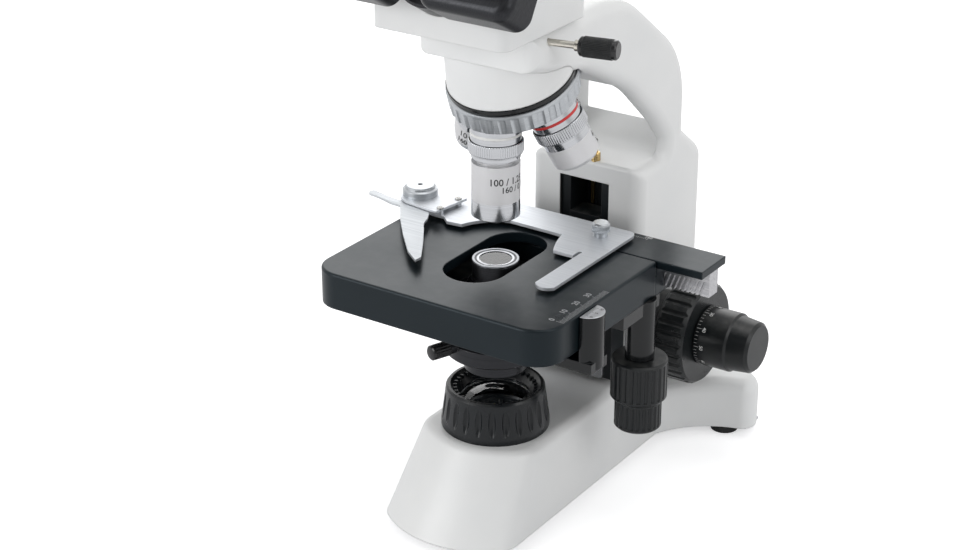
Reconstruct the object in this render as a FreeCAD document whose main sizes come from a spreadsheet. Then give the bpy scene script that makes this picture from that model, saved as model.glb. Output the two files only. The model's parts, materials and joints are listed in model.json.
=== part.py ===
"""A binocular laboratory microscope with a mechanical stage, as an assembly of separate pieces.

Millimetres, +Z up.  The optical axis is X = 0, Y = 0 and the table is Z = 0.  The user sits on the
-Y side, so +X is the right-hand side of the stand.
"""
import FreeCAD, Part
import math
import os
import Sketcher

Vector = FreeCAD.Vector
document = FreeCAD.newDocument("microscope")

# ---------------------------------------------------------------------------------------------
# Driving dimensions: name, value.  Every other length below is worked out from these.
# ---------------------------------------------------------------------------------------------
SIZES = (
    # foot and base casting
    ("foot_height", 3.0), ("foot_radius", 7.0), ("base_wall", 4.0),
    ("tongue_top", 44.0), ("tongue_half_bottom", 36.0), ("tongue_half_top", 31.0),
    ("tongue_front_bottom", 57.0), ("tongue_front_top", 30.0), ("tongue_corner_setback", 15.0),
    ("pedestal_top", 46.0), ("pedestal_half", 33.0),
    ("heel_half", 74.0), ("heel_height", 26.0), ("base_back", 144.0), ("heel_front", 108.0),
    ("heel_rounding", 7.0), ("cover_thickness", 1.5), ("tongue_corner", 12.0),
    ("tongue_rounding", 5.0),
    # arm casting
    ("arm_half", 31.5), ("arm_top", 246.0), ("arm_front", 18.0), ("arm_back", 142.0),
    ("arm_rounding", 7.0), ("arm_lip", 17.0), ("arm_bend", 60.0), ("block_front", 78.0),
    ("ledge_height", 153.0), ("leg_back", 122.0), ("leg_foot", 111.0),
    ("window_half", 25.0), ("window_rim", 9.5), ("window_drop", 44.5), ("window_floor", 103.0),
    ("slot_half", 14.0), ("slot_drop", 10.0), ("slot_depth", 20.0),
    # focusing movement
    ("focus_axis_y", 103.0), ("focus_axis_height", 64.0), ("pinion_radius", 6.5),
    ("coarse_shaft_radius", 4.6), ("fine_shaft_radius", 2.6), ("bush_wall", 3.0),
    ("bush_length", 14.0), ("tension_radius", 17.0), ("tension_width", 6.7),
    ("coarse_knob_radius", 26.0), ("coarse_knob_width", 18.0),
    ("fine_knob_radius", 15.0), ("fine_knob_width", 28.5),
    ("running_gap", 0.05), ("clearance", 0.3),
    ("slider_half", 8.5), ("slider_front", 74.0), ("slider_bottom", 52.0),
    ("bracket_front", 62.0), ("bracket_half", 27.0), ("bracket_bottom", 47.0),
    # stage
    ("stage_top", 130.0), ("stage_half", 64.5), ("stage_front", 57.5), ("stage_back", 36.5),
    ("stage_skirt", 17.5), ("stage_thickness", 5.0), ("stage_wall", 4.0), ("stage_corner", 14.0),
    ("stage_slot_half", 15.0), ("stage_slot_end", 31.5),
    ("rail_front", 37.3), ("rail_back", 60.5), ("rail_left", 61.0),
    ("slide_height", 4.0), ("slide_right_end", 88.0),
    ("frame_thickness", 5.2), ("frame_half", 50.0), ("frame_hole", 21.0),
    ("pillar_radius", 7.4), ("pillar_x", 65.0), ("pillar_y", 24.0),
    # specimen holder
    ("holder_lift", 1.5), ("holder_thickness", 1.6), ("finger_thickness", 1.2),
    ("slide_right", 34.0), ("slide_back", 15.5),
    ("pivot_x", 65.0), ("pivot_y", 31.0), ("pivot_pin_radius", 3.0), ("pivot_cap_radius", 8.6),
    ("pivot_cap_height", 5.2), ("thumb_x", 31.3), ("thumb_y", 42.1), ("thumb_radius", 4.1),
    ("thumb_height", 7.0),
    # stage drive
    ("drive_x", 60.0), ("drive_y", 32.0), ("drive_column_radius", 7.0), ("drive_rod_radius", 2.5),
    ("drive_sleeve_radius", 4.0),
    ("upper_knob_radius", 13.5), ("upper_knob_top", 82.0), ("upper_knob_bottom", 61.5),
    ("lower_knob_radius", 11.25), ("lower_knob_bottom", 46.0),
    # condenser
    ("condenser_lens_radius", 7.6), ("condenser_top", 129.4), ("condenser_top_radius", 11.0),
    ("condenser_body_radius", 18.5), ("condenser_ring", 23.0), ("carrier_bottom", 97.0),
    ("carrier_height", 8.0), ("condenser_flange", 20.5), ("iris_radius", 24.0),
    ("iris_bottom", 83.0), ("iris_stem_radius", 14.0), ("condenser_bottom", 74.5),
    ("lever_radius", 3.25), ("lever_reach", 36.0), ("lever_angle", 20.7),
    ("condenser_knob_radius", 11.0), ("condenser_axis_y", 56.0), ("condenser_knob_drop", 8.0),
    # illuminator
    ("collar_top", 64.6), ("collar_radius_bottom", 26.0), ("collar_radius_top", 23.7),
    ("collar_mouth", 21.5), ("scoop_length", 8.1), ("scoop_depth", 1.2), ("scoop_width", 2.2),
    ("field_lens_radius", 16.5), ("field_lens_top", 62.0),
    ("board_thickness", 1.6), ("led_radius", 4.0),
    # nosepiece and objectives
    ("parfocal_length", 45.0), ("working_gap", 20.0), ("nosepiece_tilt", 20.0),
    ("shoulder_distance", 53.7), ("turret_radius", 30.4), ("turret_top_distance", 35.6),
    ("turret_ring_height", 9.9), ("seal_thickness", 1.9), ("carrier_radius", 29.4),
    ("spindle_radius", 4.0), ("thread_radius", 10.1), ("thread_length", 4.5),
    ("objective_count", 4.0), ("shoulder_radius", 11.8), ("knurl_radius", 12.75),
    ("sleeve_radius", 11.4), ("barrel_radius", 11.25), ("sleeve_length", 14.5),
    ("barrel_gap", 2.3), ("stem_radius", 8.95),
    ("length_low", 28.0), ("length_medium", 33.0), ("length_high", 44.4),
    # viewing head
    ("head_gap", 1.3), ("head_half", 34.8), ("head_front", 45.8), ("head_back", 20.5),
    ("head_corner", 5.0), ("seat_radius", 21.0), ("seat_depth", 8.0),
    ("tube_incline", 30.0), ("hinge_y", 46.0), ("hinge_rise", 33.7), ("hub_radius", 20.0),
    ("tube_offset", 32.0), ("prism_half", 22.5), ("prism_corner", 7.0),
    ("prism_depth", 19.7),
    ("hinge_pin_radius", 4.0), ("link_thickness", 6.7), ("link_radius", 9.0),
    ("tube_radius", 15.5), ("tube_length", 42.0),
    ("diopter_radius", 16.5), ("diopter_width", 8.7),
    ("eyepiece_radius", 16.0), ("eyepiece_length", 28.0), ("eyepiece_barrel", 11.6),
    ("eyepiece_depth", 24.0), ("cup_radius", 17.5), ("cup_height", 7.0),
    ("lock_x", 32.5), ("lock_y", 4.8), ("lock_drop", 5.0), ("lock_angle", 12.0),
    ("lock_shaft_radius", 1.6), ("lock_exposed", 10.5), ("lock_inside", 12.7),
    ("lock_cap_radius", 4.35), ("lock_cap_length", 17.5),
    # electrics
    ("panel_inset", 6.0), ("inlet_radius", 2.8), ("inlet_depth", 9.0), ("inlet_x", 24.0),
    ("inlet_half", 6.0), ("switch_x", 2.0), ("panel_height", 15.0), ("switch_half_width", 6.5),
    ("switch_half_height", 7.5), ("dial_radius", 10.0), ("dial_width", 7.0),
    ("dial_y", 62.0), ("dial_height", 20.0),
)

sizes = document.addObject("Spreadsheet::Sheet", "sizes")
for row, (alias, value) in enumerate(SIZES, start=1):
    sizes.set(f"A{row}", alias)
    sizes.set(f"B{row}", str(value))
    sizes.setAlias(f"B{row}", alias)
document.recompute()


class Size:
    """A length that carries its value and the sheet formula that it comes from."""

    def __init__(self, value, formula):
        self.value = float(value)
        self.formula = formula

    def __add__(self, other):
        other = as_size(other)
        return Size(self.value + other.value, f"({self.formula} + {other.formula})")

    def __sub__(self, other):
        other = as_size(other)
        return Size(self.value - other.value, f"({self.formula} - {other.formula})")

    def __mul__(self, other):
        other = as_size(other)
        return Size(self.value * other.value, f"({self.formula} * {other.formula})")

    def __truediv__(self, other):
        other = as_size(other)
        return Size(self.value / other.value, f"({self.formula} / {other.formula})")

    def __rsub__(self, other):
        return as_size(other) - self

    def __neg__(self):
        return Size(-self.value, f"(-{self.formula})")

    def __float__(self):
        return self.value

    __radd__ = __add__
    __rmul__ = __mul__


def as_size(number):
    """A plain number as a Size, so that both kinds mix in one formula."""
    return number if isinstance(number, Size) else Size(number, repr(float(number)))


def size(alias):
    """The driving dimension with this name."""
    return Size(sizes.get(alias), f"sizes.{alias}")


def sine(angle):
    """Sine of a Size that holds degrees."""
    return Size(math.sin(math.radians(angle.value)), f"sin({angle.formula} * 1 deg)")


def cosine(angle):
    """Cosine of a Size that holds degrees."""
    return Size(math.cos(math.radians(angle.value)), f"cos({angle.formula} * 1 deg)")


def bind(item, path, length):
    """Ties one property of a document object to its formula."""
    item.setExpression(path, as_size(length).formula)


# ---------------------------------------------------------------------------------------------
# Helpers: bodies, sketches, features
# ---------------------------------------------------------------------------------------------
PIECES = []


def new_body(name):
    """A sub-part: one body, which becomes one file of that name."""
    body = document.addObject("PartDesign::Body", name)
    body.Label = name
    PIECES.append(body)
    return body


def new_sketch(body, plane, offset=0.0):
    """An empty sketch on one of the body's own planes, moved along that plane's normal."""
    sketch = body.newObject("Sketcher::SketchObject", "Sketch")
    support = next(item for item in body.Origin.OriginFeatures if item.Role == plane)
    sketch.AttachmentSupport = [(support, "")]
    sketch.MapMode = "FlatFace"
    bind(sketch, "AttachmentOffset.Base.z", offset)
    return sketch


def pin_point(sketch, geometry, end, x, y):
    """Holds one point of a sketch at (x, y) from the sketch's origin."""
    for kind, axis, length in (("DistanceX", -2, as_size(x)), ("DistanceY", -1, as_size(y))):
        if length.value == 0.0:
            sketch.addConstraint(Sketcher.Constraint("PointOnObject", geometry, end, axis))
            continue
        index = sketch.addConstraint(
            Sketcher.Constraint(kind, -1, 1, geometry, end, length.value))
        bind(sketch, f"Constraints[{index}]", length)


def arc_through(begin, middle, end):
    """The arc through three points, turning anticlockwise as sketches keep their arcs."""
    centre = Part.Arc(begin, middle, end).toShape().Curve.Center
    first, last = begin - centre, end - centre
    if (middle - begin).cross(end - middle).z < 0:
        first, last = last, first
    circle = Part.Circle(centre, Vector(0, 0, 1), first.Length)
    start = math.atan2(first.y, first.x)
    turn = (math.atan2(last.y, last.x) - start) % (2.0 * math.pi)
    return Part.ArcOfCircle(circle, start, start + turn)


def add_outline(sketch, points):
    """A closed outline.  A point is (x, y), or (x, y, mid_x, mid_y) to reach it by an arc."""
    count = len(points)
    first = sketch.GeometryCount
    for index, point in enumerate(points):
        start = points[index - 1]
        begin = Vector(float(start[0]), float(start[1]), 0)
        end = Vector(float(point[0]), float(point[1]), 0)
        if len(point) == 4:
            sketch.addGeometry(arc_through(begin, Vector(float(point[2]), float(point[3]), 0), end),
                               False)
        else:
            sketch.addGeometry(Part.LineSegment(begin, end), False)
    ends = []
    for index, point in enumerate(points):
        curve = sketch.Geometry[first + index]
        target = Vector(float(point[0]), float(point[1]), 0)
        forward = (curve.EndPoint - target).Length <= (curve.StartPoint - target).Length
        ends.append((1, 2) if forward else (2, 1))
    for index in range(count):
        after = (index + 1) % count
        sketch.addConstraint(Sketcher.Constraint(
            "Coincident", first + index, ends[index][1], first + after, ends[after][0]))
    for index, point in enumerate(points):
        pin_point(sketch, first + index, ends[index][1], point[0], point[1])
        if len(point) == 4:
            extra = sketch.addGeometry(
                Part.Point(Vector(float(point[2]), float(point[3]), 0)), True)
            pin_point(sketch, extra, 1, point[2], point[3])
            sketch.addConstraint(
                Sketcher.Constraint("PointOnObject", extra, 1, first + index))


def add_circle(sketch, x, y, radius):
    """A circle of a bound radius about a bound centre."""
    centre = Vector(float(x), float(y), 0)
    index = sketch.addGeometry(Part.Circle(centre, Vector(0, 0, 1), float(radius)), False)
    pin_point(sketch, index, 3, x, y)
    number = sketch.addConstraint(Sketcher.Constraint("Radius", index, float(radius)))
    bind(sketch, f"Constraints[{number}]", radius)


def pad(body, sketch, length, both_ways=False):
    """Adds material along the sketch's normal."""
    feature = body.newObject("PartDesign::Pad", "Pad")
    feature.Profile = sketch
    bind(feature, "Length", length)
    if both_ways:
        feature.SideType = "Symmetric"
    return feature


def pocket(body, sketch, length, both_ways=False, reverse=False):
    """Cuts along the sketch's normal, against it unless reversed, and makes sure that it cuts."""
    document.recompute()
    before = body.Shape.Volume
    feature = body.newObject("PartDesign::Pocket", "Pocket")
    feature.Profile = sketch
    bind(feature, "Length", length)
    feature.Reversed = reverse
    if both_ways:
        feature.SideType = "Symmetric"
    document.recompute()
    if not body.Shape.Volume < before - 1e-6:
        raise RuntimeError(f"{body.Label}: a pocket removes nothing")
    return feature


def revolve(body, sketch, kind="PartDesign::Revolution", axis="V_Axis"):
    """Turns a sketch once round one of its own axes."""
    feature = body.newObject(kind, "Turn")
    feature.Profile = sketch
    feature.ReferenceAxis = (sketch, [axis])
    feature.Angle = 360.0
    return feature


def round_edges(body, radius, wanted):
    """Fillets the edges of the body's tip for which wanted(edge) is true."""
    document.recompute()
    tip = body.Tip
    names = [f"Edge{number}" for number, edge in enumerate(tip.Shape.Edges, start=1)
             if wanted(edge)]
    if not names:
        raise RuntimeError(f"{body.Label}: no edge to round")
    feature = body.newObject("PartDesign::Fillet", "Fillet")
    feature.Base = (tip, names)
    bind(feature, "Radius", radius)
    return feature


def repeat_around(body, features, count):
    """Copies features round the body's own Z axis."""
    pattern = body.newObject("PartDesign::PolarPattern", "Pattern")
    pattern.Originals = features
    axis = next(item for item in body.Origin.OriginFeatures if item.Role == "Z_Axis")
    pattern.Axis = (axis, [""])
    pattern.Angle = 360.0
    bind(pattern, "Occurrences", count)
    body.Tip = pattern
    return pattern


def place(body, x=0.0, y=0.0, z=0.0, axis=None, angle=0.0):
    """Puts a body where it belongs, with its position bound to the sheet."""
    if axis is not None:
        body.Placement = FreeCAD.Placement(Vector(), FreeCAD.Rotation(axis, float(angle)))
        if isinstance(angle, Size):
            body.setExpression("Placement.Rotation.Angle", f"{angle.formula} * 1 deg")
    for letter, length in zip("xyz", (x, y, z)):
        bind(body, f"Placement.Base.{letter}", length)


def cut_solid(body, kind, turn, start, **lengths):
    """Cuts a simple solid of the given kind, turned and put at a point of the body."""
    document.recompute()
    before = body.Shape.Volume
    feature = body.newObject(f"PartDesign::Subtractive{kind}", "Cut")
    support = next(item for item in body.Origin.OriginFeatures if item.Role == "XY_Plane")
    feature.AttachmentSupport = [(support, "")]
    feature.MapMode = "FlatFace"
    feature.AttachmentOffset = FreeCAD.Placement(Vector(*map(float, start)), turn)
    for letter, length_along in zip("xyz", start):
        bind(feature, f"AttachmentOffset.Base.{letter}", length_along)
    for path, length in lengths.items():
        bind(feature, path, length)
    document.recompute()
    if not body.Shape.Volume < before - 1e-6:
        raise RuntimeError(f"{body.Label}: a cut removes nothing")
    return feature


def drill(body, radius, length, turn, start):
    """Cuts a cylinder that starts at a point and runs along the turned Z axis."""
    return cut_solid(body, "Cylinder", turn, start, Radius=radius, Height=length)


def turned(name, *profiles, axis="V_Axis"):
    """A piece that is turned on a lathe: each profile holds (radius, height) points."""
    body = new_body(name)
    for profile in profiles:
        sketch = new_sketch(body, "XZ_Plane")
        add_outline(sketch, profile)
        revolve(body, sketch, axis=axis)
    return body


def plate(name, outline, bottom, thickness, holes=()):
    """A flat piece cut from sheet, lying level, with round holes given as (x, y, radius)."""
    body = new_body(name)
    sketch = new_sketch(body, "XY_Plane", bottom)
    add_outline(sketch, outline)
    for x, y, radius in holes:
        add_circle(sketch, x, y, radius)
    pad(body, sketch, thickness)
    return body


def rectangle(left, front, right, back):
    """The corners of a rectangle, in order."""
    return ((left, front), (right, front), (right, back), (left, back))


def rounded(left, front, right, back, radius):
    """The outline of a rectangle with round corners."""
    inset = radius * (1.0 - math.sqrt(0.5))
    return ((left, front + radius), (left + radius, front, left + inset, front + inset),
            (right - radius, front), (right, front + radius, right - inset, front + inset),
            (right, back - radius), (right - radius, back, right - inset, back - inset),
            (left + radius, back), (left, back - radius, left + inset, back - inset))


def tube_profile(inner, outer, low, high):
    """A ring's section, for turned()."""
    return ((inner, low), (outer, low), (outer, high), (inner, high))


def rod_profile(radius, low, high):
    """A solid rod's section, for turned()."""
    return tube_profile(0.0, radius, low, high)


def is_upright(edge):
    """True for a straight edge along Z."""
    ends = edge.Vertexes
    return (len(ends) == 2 and isinstance(edge.Curve, Part.Line)
            and abs(ends[0].X - ends[1].X) < 1e-6 and abs(ends[0].Y - ends[1].Y) < 1e-6)


def upright_near(*corners):
    """A test for the upright edges that stand at the given (x, y) corners."""
    def wanted(edge):
        middle = edge.BoundBox.Center
        return is_upright(edge) and any(
            abs(middle.x - float(x)) < 0.01 and abs(middle.y - float(y)) < 0.01
            for x, y in corners)
    return wanted


def crossing_near(*corners):
    """A test for the edges along X that pass through the given (y, z) corners."""
    def wanted(edge):
        box = edge.BoundBox
        return box.YLength < 1e-3 and box.ZLength < 1e-3 and any(
            abs(box.YMin - float(y)) < 0.01 and abs(box.ZMin - float(z)) < 0.01
            for y, z in corners)
    return wanted


AXIS_X = Vector(1, 0, 0)
AXIS_Y = Vector(0, 1, 0)
AXIS_Z = Vector(0, 0, 1)
CLEARANCE = size("clearance")
RUNNING_GAP = size("running_gap")

# ---------------------------------------------------------------------------------------------
# Foot: base casting, bottom cover and rubber feet
# ---------------------------------------------------------------------------------------------
BASE_HALF = size("tongue_half_bottom")
COVER_TOP = size("foot_height") + size("cover_thickness")
TONGUE_BACK = size("heel_front") + 8.0
HEEL_HALF = size("heel_half")
HEEL_BACK = size("base_back")
HEEL_CORNER = as_size(14.0)
PEDESTAL_FRONT = size("block_front") - 2.0
PANEL_Y = HEEL_BACK - size("panel_inset")
DIAL_SHAFT = size("dial_radius") / 5.0
HOLLOW_BACK = size("heel_front") - 16.0


def tongue_outline(half, front):
    """The front tongue of the base in plan, with a bowed front edge."""
    shoulder = size("tongue_corner_setback") - front
    return ((-half, TONGUE_BACK), (-half, shoulder), (half, shoulder, 0.0, -front),
            (half, TONGUE_BACK))


def heel_outline(inset):
    """The wide rear part of the base in plan, which flares out behind the tongue."""
    inner = BASE_HALF - inset
    outer = HEEL_HALF - inset
    start = size("heel_front") - 14.0
    flare = size("heel_front") + 16.0 + inset
    bend_x = (inner + outer) / 2.0 - 4.0
    bend_y = (start + flare) / 2.0 + 5.0
    return ((-inner, start, -bend_x, bend_y), (inner, start), (outer, flare, bend_x, bend_y),
            (outer, HEEL_BACK - inset), (-outer, HEEL_BACK - inset), (-outer, flare))


def make_base():
    """White casting: a sloped tongue under the illuminator and a flared heel, hollow below."""
    body = new_body("base_casting")
    heel = new_sketch(body, "XY_Plane", COVER_TOP)
    add_outline(heel, heel_outline(0.0))
    pad(body, heel, size("heel_height"))
    flare = size("heel_front") + 16.0
    round_edges(body, HEEL_CORNER, upright_near((HEEL_HALF, HEEL_BACK), (-HEEL_HALF, HEEL_BACK)))
    round_edges(body, HEEL_CORNER / 2.0, upright_near((HEEL_HALF, flare), (-HEEL_HALF, flare)))
    heel_top = float(COVER_TOP + size("heel_height"))
    round_edges(body, size("heel_rounding"),
                lambda edge: edge.BoundBox.ZMin > heel_top - 1e-3
                and edge.BoundBox.YMax > size("heel_front").value)
    low = new_sketch(body, "XY_Plane", COVER_TOP)
    add_outline(low, tongue_outline(BASE_HALF, size("tongue_front_bottom")))
    high = new_sketch(body, "XY_Plane", size("tongue_top"))
    add_outline(high, tongue_outline(size("tongue_half_top"), size("tongue_front_top")))
    loft = body.newObject("PartDesign::AdditiveLoft", "Tongue")
    loft.Profile = low
    loft.Sections = [high]
    loft.Ruled = True
    tongue_top = size("tongue_top").value
    shoulder = (size("tongue_corner_setback") - size("tongue_front_top")).value
    round_edges(body, size("tongue_corner"),
                lambda edge: edge.BoundBox.YMax < shoulder + 1e-3
                and edge.BoundBox.ZLength > tongue_top / 2.0)
    round_edges(body, size("tongue_rounding"),
                lambda edge: edge.BoundBox.ZMin > tongue_top - 1e-3
                and edge.BoundBox.YMin < PEDESTAL_FRONT.value)
    pedestal = new_sketch(body, "XY_Plane", COVER_TOP)
    half = size("pedestal_half")
    add_outline(pedestal, rectangle(-half, PEDESTAL_FRONT, half, size("arm_back") + 1.0))
    pad(body, pedestal, size("pedestal_top") - COVER_TOP)
    hollow = new_sketch(body, "XY_Plane", COVER_TOP)
    inner = size("tongue_half_top") - size("base_wall")
    front = size("base_wall") + 1.0 - size("tongue_front_top")
    shoulder_y = front + size("tongue_corner_setback") + 1.0
    add_outline(hollow, ((-inner, HOLLOW_BACK), (-inner, shoulder_y),
                         (inner, shoulder_y, 0.0, front), (inner, HOLLOW_BACK)))
    pocket(body, hollow, size("tongue_top") - size("base_wall") - COVER_TOP, reverse=True)
    rear = new_sketch(body, "XY_Plane", COVER_TOP)
    side = HEEL_HALF - 2.5 * size("base_wall")
    add_outline(rear, rectangle(-side, size("heel_front") + 18.0, side,
                                HEEL_BACK - 2.0 * size("base_wall")))
    pocket(body, rear, size("heel_height") - 2.0 * size("base_wall"), reverse=True)
    seat = new_sketch(body, "XY_Plane", size("tongue_top"))
    add_circle(seat, 0.0, 0.0, size("field_lens_radius") + 0.5)
    pocket(body, seat, size("base_wall") + 0.5)
    dial = new_sketch(body, "YZ_Plane", 10.0 - BASE_HALF)
    add_circle(dial, size("dial_y"), size("dial_height"), DIAL_SHAFT + RUNNING_GAP)
    pocket(body, dial, 14.0)
    panel = new_sketch(body, "XZ_Plane", -PANEL_Y)
    add_outline(panel, rectangle(-8.0, COVER_TOP + 1.0, size("inlet_x") + 14.0,
                                 size("panel_height") + 9.5))
    pocket(body, panel, size("panel_inset") + 5.0)
    for middle, wide, tall in (
            (size("switch_x"), size("switch_half_width"), size("switch_half_height")),
            (size("inlet_x"), size("inlet_half"), size("inlet_half"))):
        hole = new_sketch(body, "XZ_Plane", -PANEL_Y)
        add_outline(hole, rectangle(middle - wide, size("panel_height") - tall,
                                    middle + wide, size("panel_height") + tall))
        pocket(body, hole, size("panel_inset") + 2.0, reverse=True)
    return body


make_base()

cover = plate("bottom_cover", tongue_outline(BASE_HALF - 3.0, size("tongue_front_bottom") - 4.0),
              size("foot_height"), size("cover_thickness"))
heel_cover = new_sketch(cover, "XY_Plane", size("foot_height"))
add_outline(heel_cover, heel_outline(3.0))
pad(cover, heel_cover, size("cover_thickness"))

feet = new_body("rubber_feet")
for foot_x, foot_y in ((BASE_HALF - 13.0, 28.0 - size("tongue_front_bottom")),
                       (HEEL_HALF - 16.0, HEEL_BACK - 16.0)):
    for side in (-1.0, 1.0):
        sketch = new_sketch(feet, "XY_Plane")
        add_circle(sketch, foot_x * side, foot_y, size("foot_radius"))
        pad(feet, sketch, size("foot_height"))

# ---------------------------------------------------------------------------------------------
# Arm: the curved casting with its carrying window, the slot for the slide and the head seat
# ---------------------------------------------------------------------------------------------
ARM_HALF = size("arm_half")
ARM_TOP = size("arm_top")
LEDGE = size("ledge_height")
SLOT_TOP = LEDGE - size("slot_drop")
SLOT_FLOOR = size("block_front") + size("slot_depth")
BUSH_INNER = size("coarse_shaft_radius") + RUNNING_GAP
BUSH_RADIUS = BUSH_INNER + size("bush_wall")
FOCUS_Y = size("focus_axis_y")
FOCUS_Z = size("focus_axis_height")

STAGE_TOP = size("stage_top")
MEETING = STAGE_TOP + size("working_gap") + size("parfocal_length") + size("shoulder_distance")
TILT = size("nosepiece_tilt")
TURRET_TOP = -size("turret_top_distance")
TURRET = size("turret_radius")
RING_BOTTOM = TURRET_TOP - size("turret_ring_height")
SHOULDER = -size("shoulder_distance")
SEAL_TOP = TURRET_TOP + size("seal_thickness")
CARRIER_FACE = SEAL_TOP + CLEARANCE
LOCK_Z = ARM_TOP - size("lock_drop")


def make_arm():
    """White casting: tongue above the nosepiece, two legs round the window, focusing block."""
    body = new_body("arm_casting")
    front = -size("arm_front")
    block = size("block_front")
    back = size("arm_back")
    profile = new_sketch(body, "YZ_Plane")
    bend = size("arm_bend")
    leg = size("leg_back")
    rim = LEDGE + size("window_rim")
    brow = (block - 16.0, ARM_TOP)
    nape = (leg, ARM_TOP - 44.2)
    chin = (block - 48.0, ARM_TOP - size("arm_lip") - 12.0)
    throat = (block - 12.0, ARM_TOP - 48.0)
    elbow = (block + 15.0, LEDGE + (ARM_TOP - 48.0 - LEDGE) * 0.467)
    heel = (size("leg_foot"), LEDGE)
    hip = (back, rim - 15.5)
    add_outline(profile, (
        (front, ARM_TOP), (front, ARM_TOP - size("arm_lip")), chin, throat, elbow, heel,
        (block, LEDGE), (block, size("pedestal_top")), (back, size("pedestal_top")), hip,
        (leg, rim), nape, brow))
    pad(body, profile, ARM_HALF * 2.0, both_ways=True)
    for corner, radius in ((brow, bend), (nape, bend * 0.75), (chin, bend / 3.0), (throat, bend),
                           (elbow, bend), (heel, 6.0), ((block, LEDGE), 2.0), (hip, 10.0),
                           ((leg, rim), 3.0)):
        round_edges(body, radius, crossing_near(corner))
    outer = ARM_HALF.value
    round_edges(body, size("arm_rounding"),
                lambda edge: abs(abs(edge.BoundBox.Center.x) - outer) < 1e-3
                and edge.BoundBox.XLength < 1e-3
                and not (edge.BoundBox.ZLength < 1e-3
                         and abs(edge.BoundBox.ZMin - size("pedestal_top").value) < 1e-3))
    window = new_sketch(body, "YZ_Plane")
    head = ARM_TOP - size("window_drop")
    floor_end = size("window_floor")
    beyond = back + 10.0
    add_outline(window, (
        (block - 30.0, head), (block - 30.0, LEDGE), (floor_end, LEDGE),
        (leg, rim, floor_end + (leg - floor_end) * 0.55, LEDGE + size("window_rim") * 0.22),
        (beyond, rim), (beyond, head - 15.5), (leg, head - 15.5), (leg - 27.0, head)))
    pocket(body, window, size("window_half") * 2.0, both_ways=True)
    sweep = new_sketch(body, "XZ_Plane")
    sweep.AttachmentOffset = FreeCAD.Placement(Vector(), FreeCAD.Rotation(AXIS_X, TILT.value))
    bind(sweep, "AttachmentOffset.Base.y", MEETING)
    sweep.setExpression("AttachmentOffset.Rotation.Angle", f"{TILT.formula} * 1 deg")
    swing = TURRET + 1.0
    far = SHOULDER - size("parfocal_length") + 4.0
    add_outline(sweep, ((0.0, CARRIER_FACE), (swing, CARRIER_FACE), (swing, RING_BOTTOM - 2.0),
                        (swing + 15.0, far), (0.0, far)))
    revolve(body, sweep, kind="PartDesign::Groove")
    slot = new_sketch(body, "XZ_Plane", -block)
    wide = size("slot_half")
    add_outline(slot, rectangle(-wide, size("pedestal_top") - 1.0, wide, SLOT_TOP))
    pocket(body, slot, size("slot_depth"))
    gear = new_sketch(body, "XZ_Plane", 1.0 - SLOT_FLOOR)
    add_outline(gear, rectangle(-6.0, FOCUS_Z - 10.0, 6.0, FOCUS_Z + 10.0))
    pocket(body, gear, FOCUS_Y - SLOT_FLOOR + 10.0)
    shaft = new_sketch(body, "YZ_Plane")
    add_circle(shaft, FOCUS_Y, FOCUS_Z, BUSH_RADIUS)
    pocket(body, shaft, ARM_HALF * 2.0 + 2.0, both_ways=True)
    seat = new_sketch(body, "XY_Plane", ARM_TOP)
    add_circle(seat, 0.0, 0.0, size("seat_radius"))
    pocket(body, seat, size("seat_depth"))
    turn = FreeCAD.Rotation(AXIS_Z, size("lock_angle").value)
    inner = size("lock_inside")
    angle = size("lock_angle")
    drill(body, size("lock_shaft_radius") + RUNNING_GAP, inner + 3.0,
          turn * FreeCAD.Rotation(AXIS_Y, 90),
          (size("lock_x") - inner * cosine(angle), -size("lock_y") - inner * sine(angle),
           LOCK_Z))
    return body


arm = make_arm()

guide = new_body("focus_guide")
guide_sketch = new_sketch(guide, "XY_Plane", size("pedestal_top"))
GIB_FRONT = size("block_front") + 2.0
GIB_INNER = size("slider_half") + CLEARANCE
add_outline(guide_sketch, (
    (-size("slot_half"), GIB_FRONT), (-GIB_INNER, GIB_FRONT), (-GIB_INNER, SLOT_FLOOR - 1.5),
    (GIB_INNER, SLOT_FLOOR - 1.5), (GIB_INNER, GIB_FRONT), (size("slot_half"), GIB_FRONT),
    (size("slot_half"), SLOT_FLOOR), (-size("slot_half"), SLOT_FLOOR)))
pad(guide, guide_sketch, SLOT_TOP - size("pedestal_top") - CLEARANCE)
guide_window = new_sketch(guide, "XZ_Plane", -(SLOT_FLOOR - 2.0))
add_outline(guide_window, rectangle(-5.5, FOCUS_Z - 9.0, 5.5, FOCUS_Z + 9.0))
pocket(guide, guide_window, 4.0)

strip = new_body("guide_strip")
strip_sketch = new_sketch(strip, "XY_Plane", SLOT_TOP - 20.0)
add_outline(strip_sketch, rectangle(-6.4, SLOT_FLOOR - 2.7, -4.8, SLOT_FLOOR - 1.5))
pad(strip, strip_sketch, 19.0)

bushes = new_body("focus_bushes")
for side in (-1.0, 1.0):
    sketch = new_sketch(bushes, "XZ_Plane")
    outer_end = (ARM_HALF + size("tension_width") + 1.0) * side
    inner_end = (ARM_HALF - size("bush_length")) * side
    add_outline(sketch, ((BUSH_INNER, inner_end), (BUSH_RADIUS, inner_end),
                         (BUSH_RADIUS, outer_end), (BUSH_INNER, outer_end)))
    revolve(bushes, sketch)
place(bushes, 0.0, FOCUS_Y, FOCUS_Z, AXIS_Y, 90.0)

# ---------------------------------------------------------------------------------------------
# Focusing movement: coarse pinion and knobs, fine spindle through them, tension collar
# ---------------------------------------------------------------------------------------------
PINION = size("pinion_radius")
COARSE = size("coarse_shaft_radius")
KNOB_START = ARM_HALF + size("tension_width") + CLEARANCE * 5.0
KNOB_END = KNOB_START + size("coarse_knob_width")
TENSION_START = ARM_HALF + CLEARANCE
FINE_START = KNOB_END + 2.0 * CLEARANCE


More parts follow.
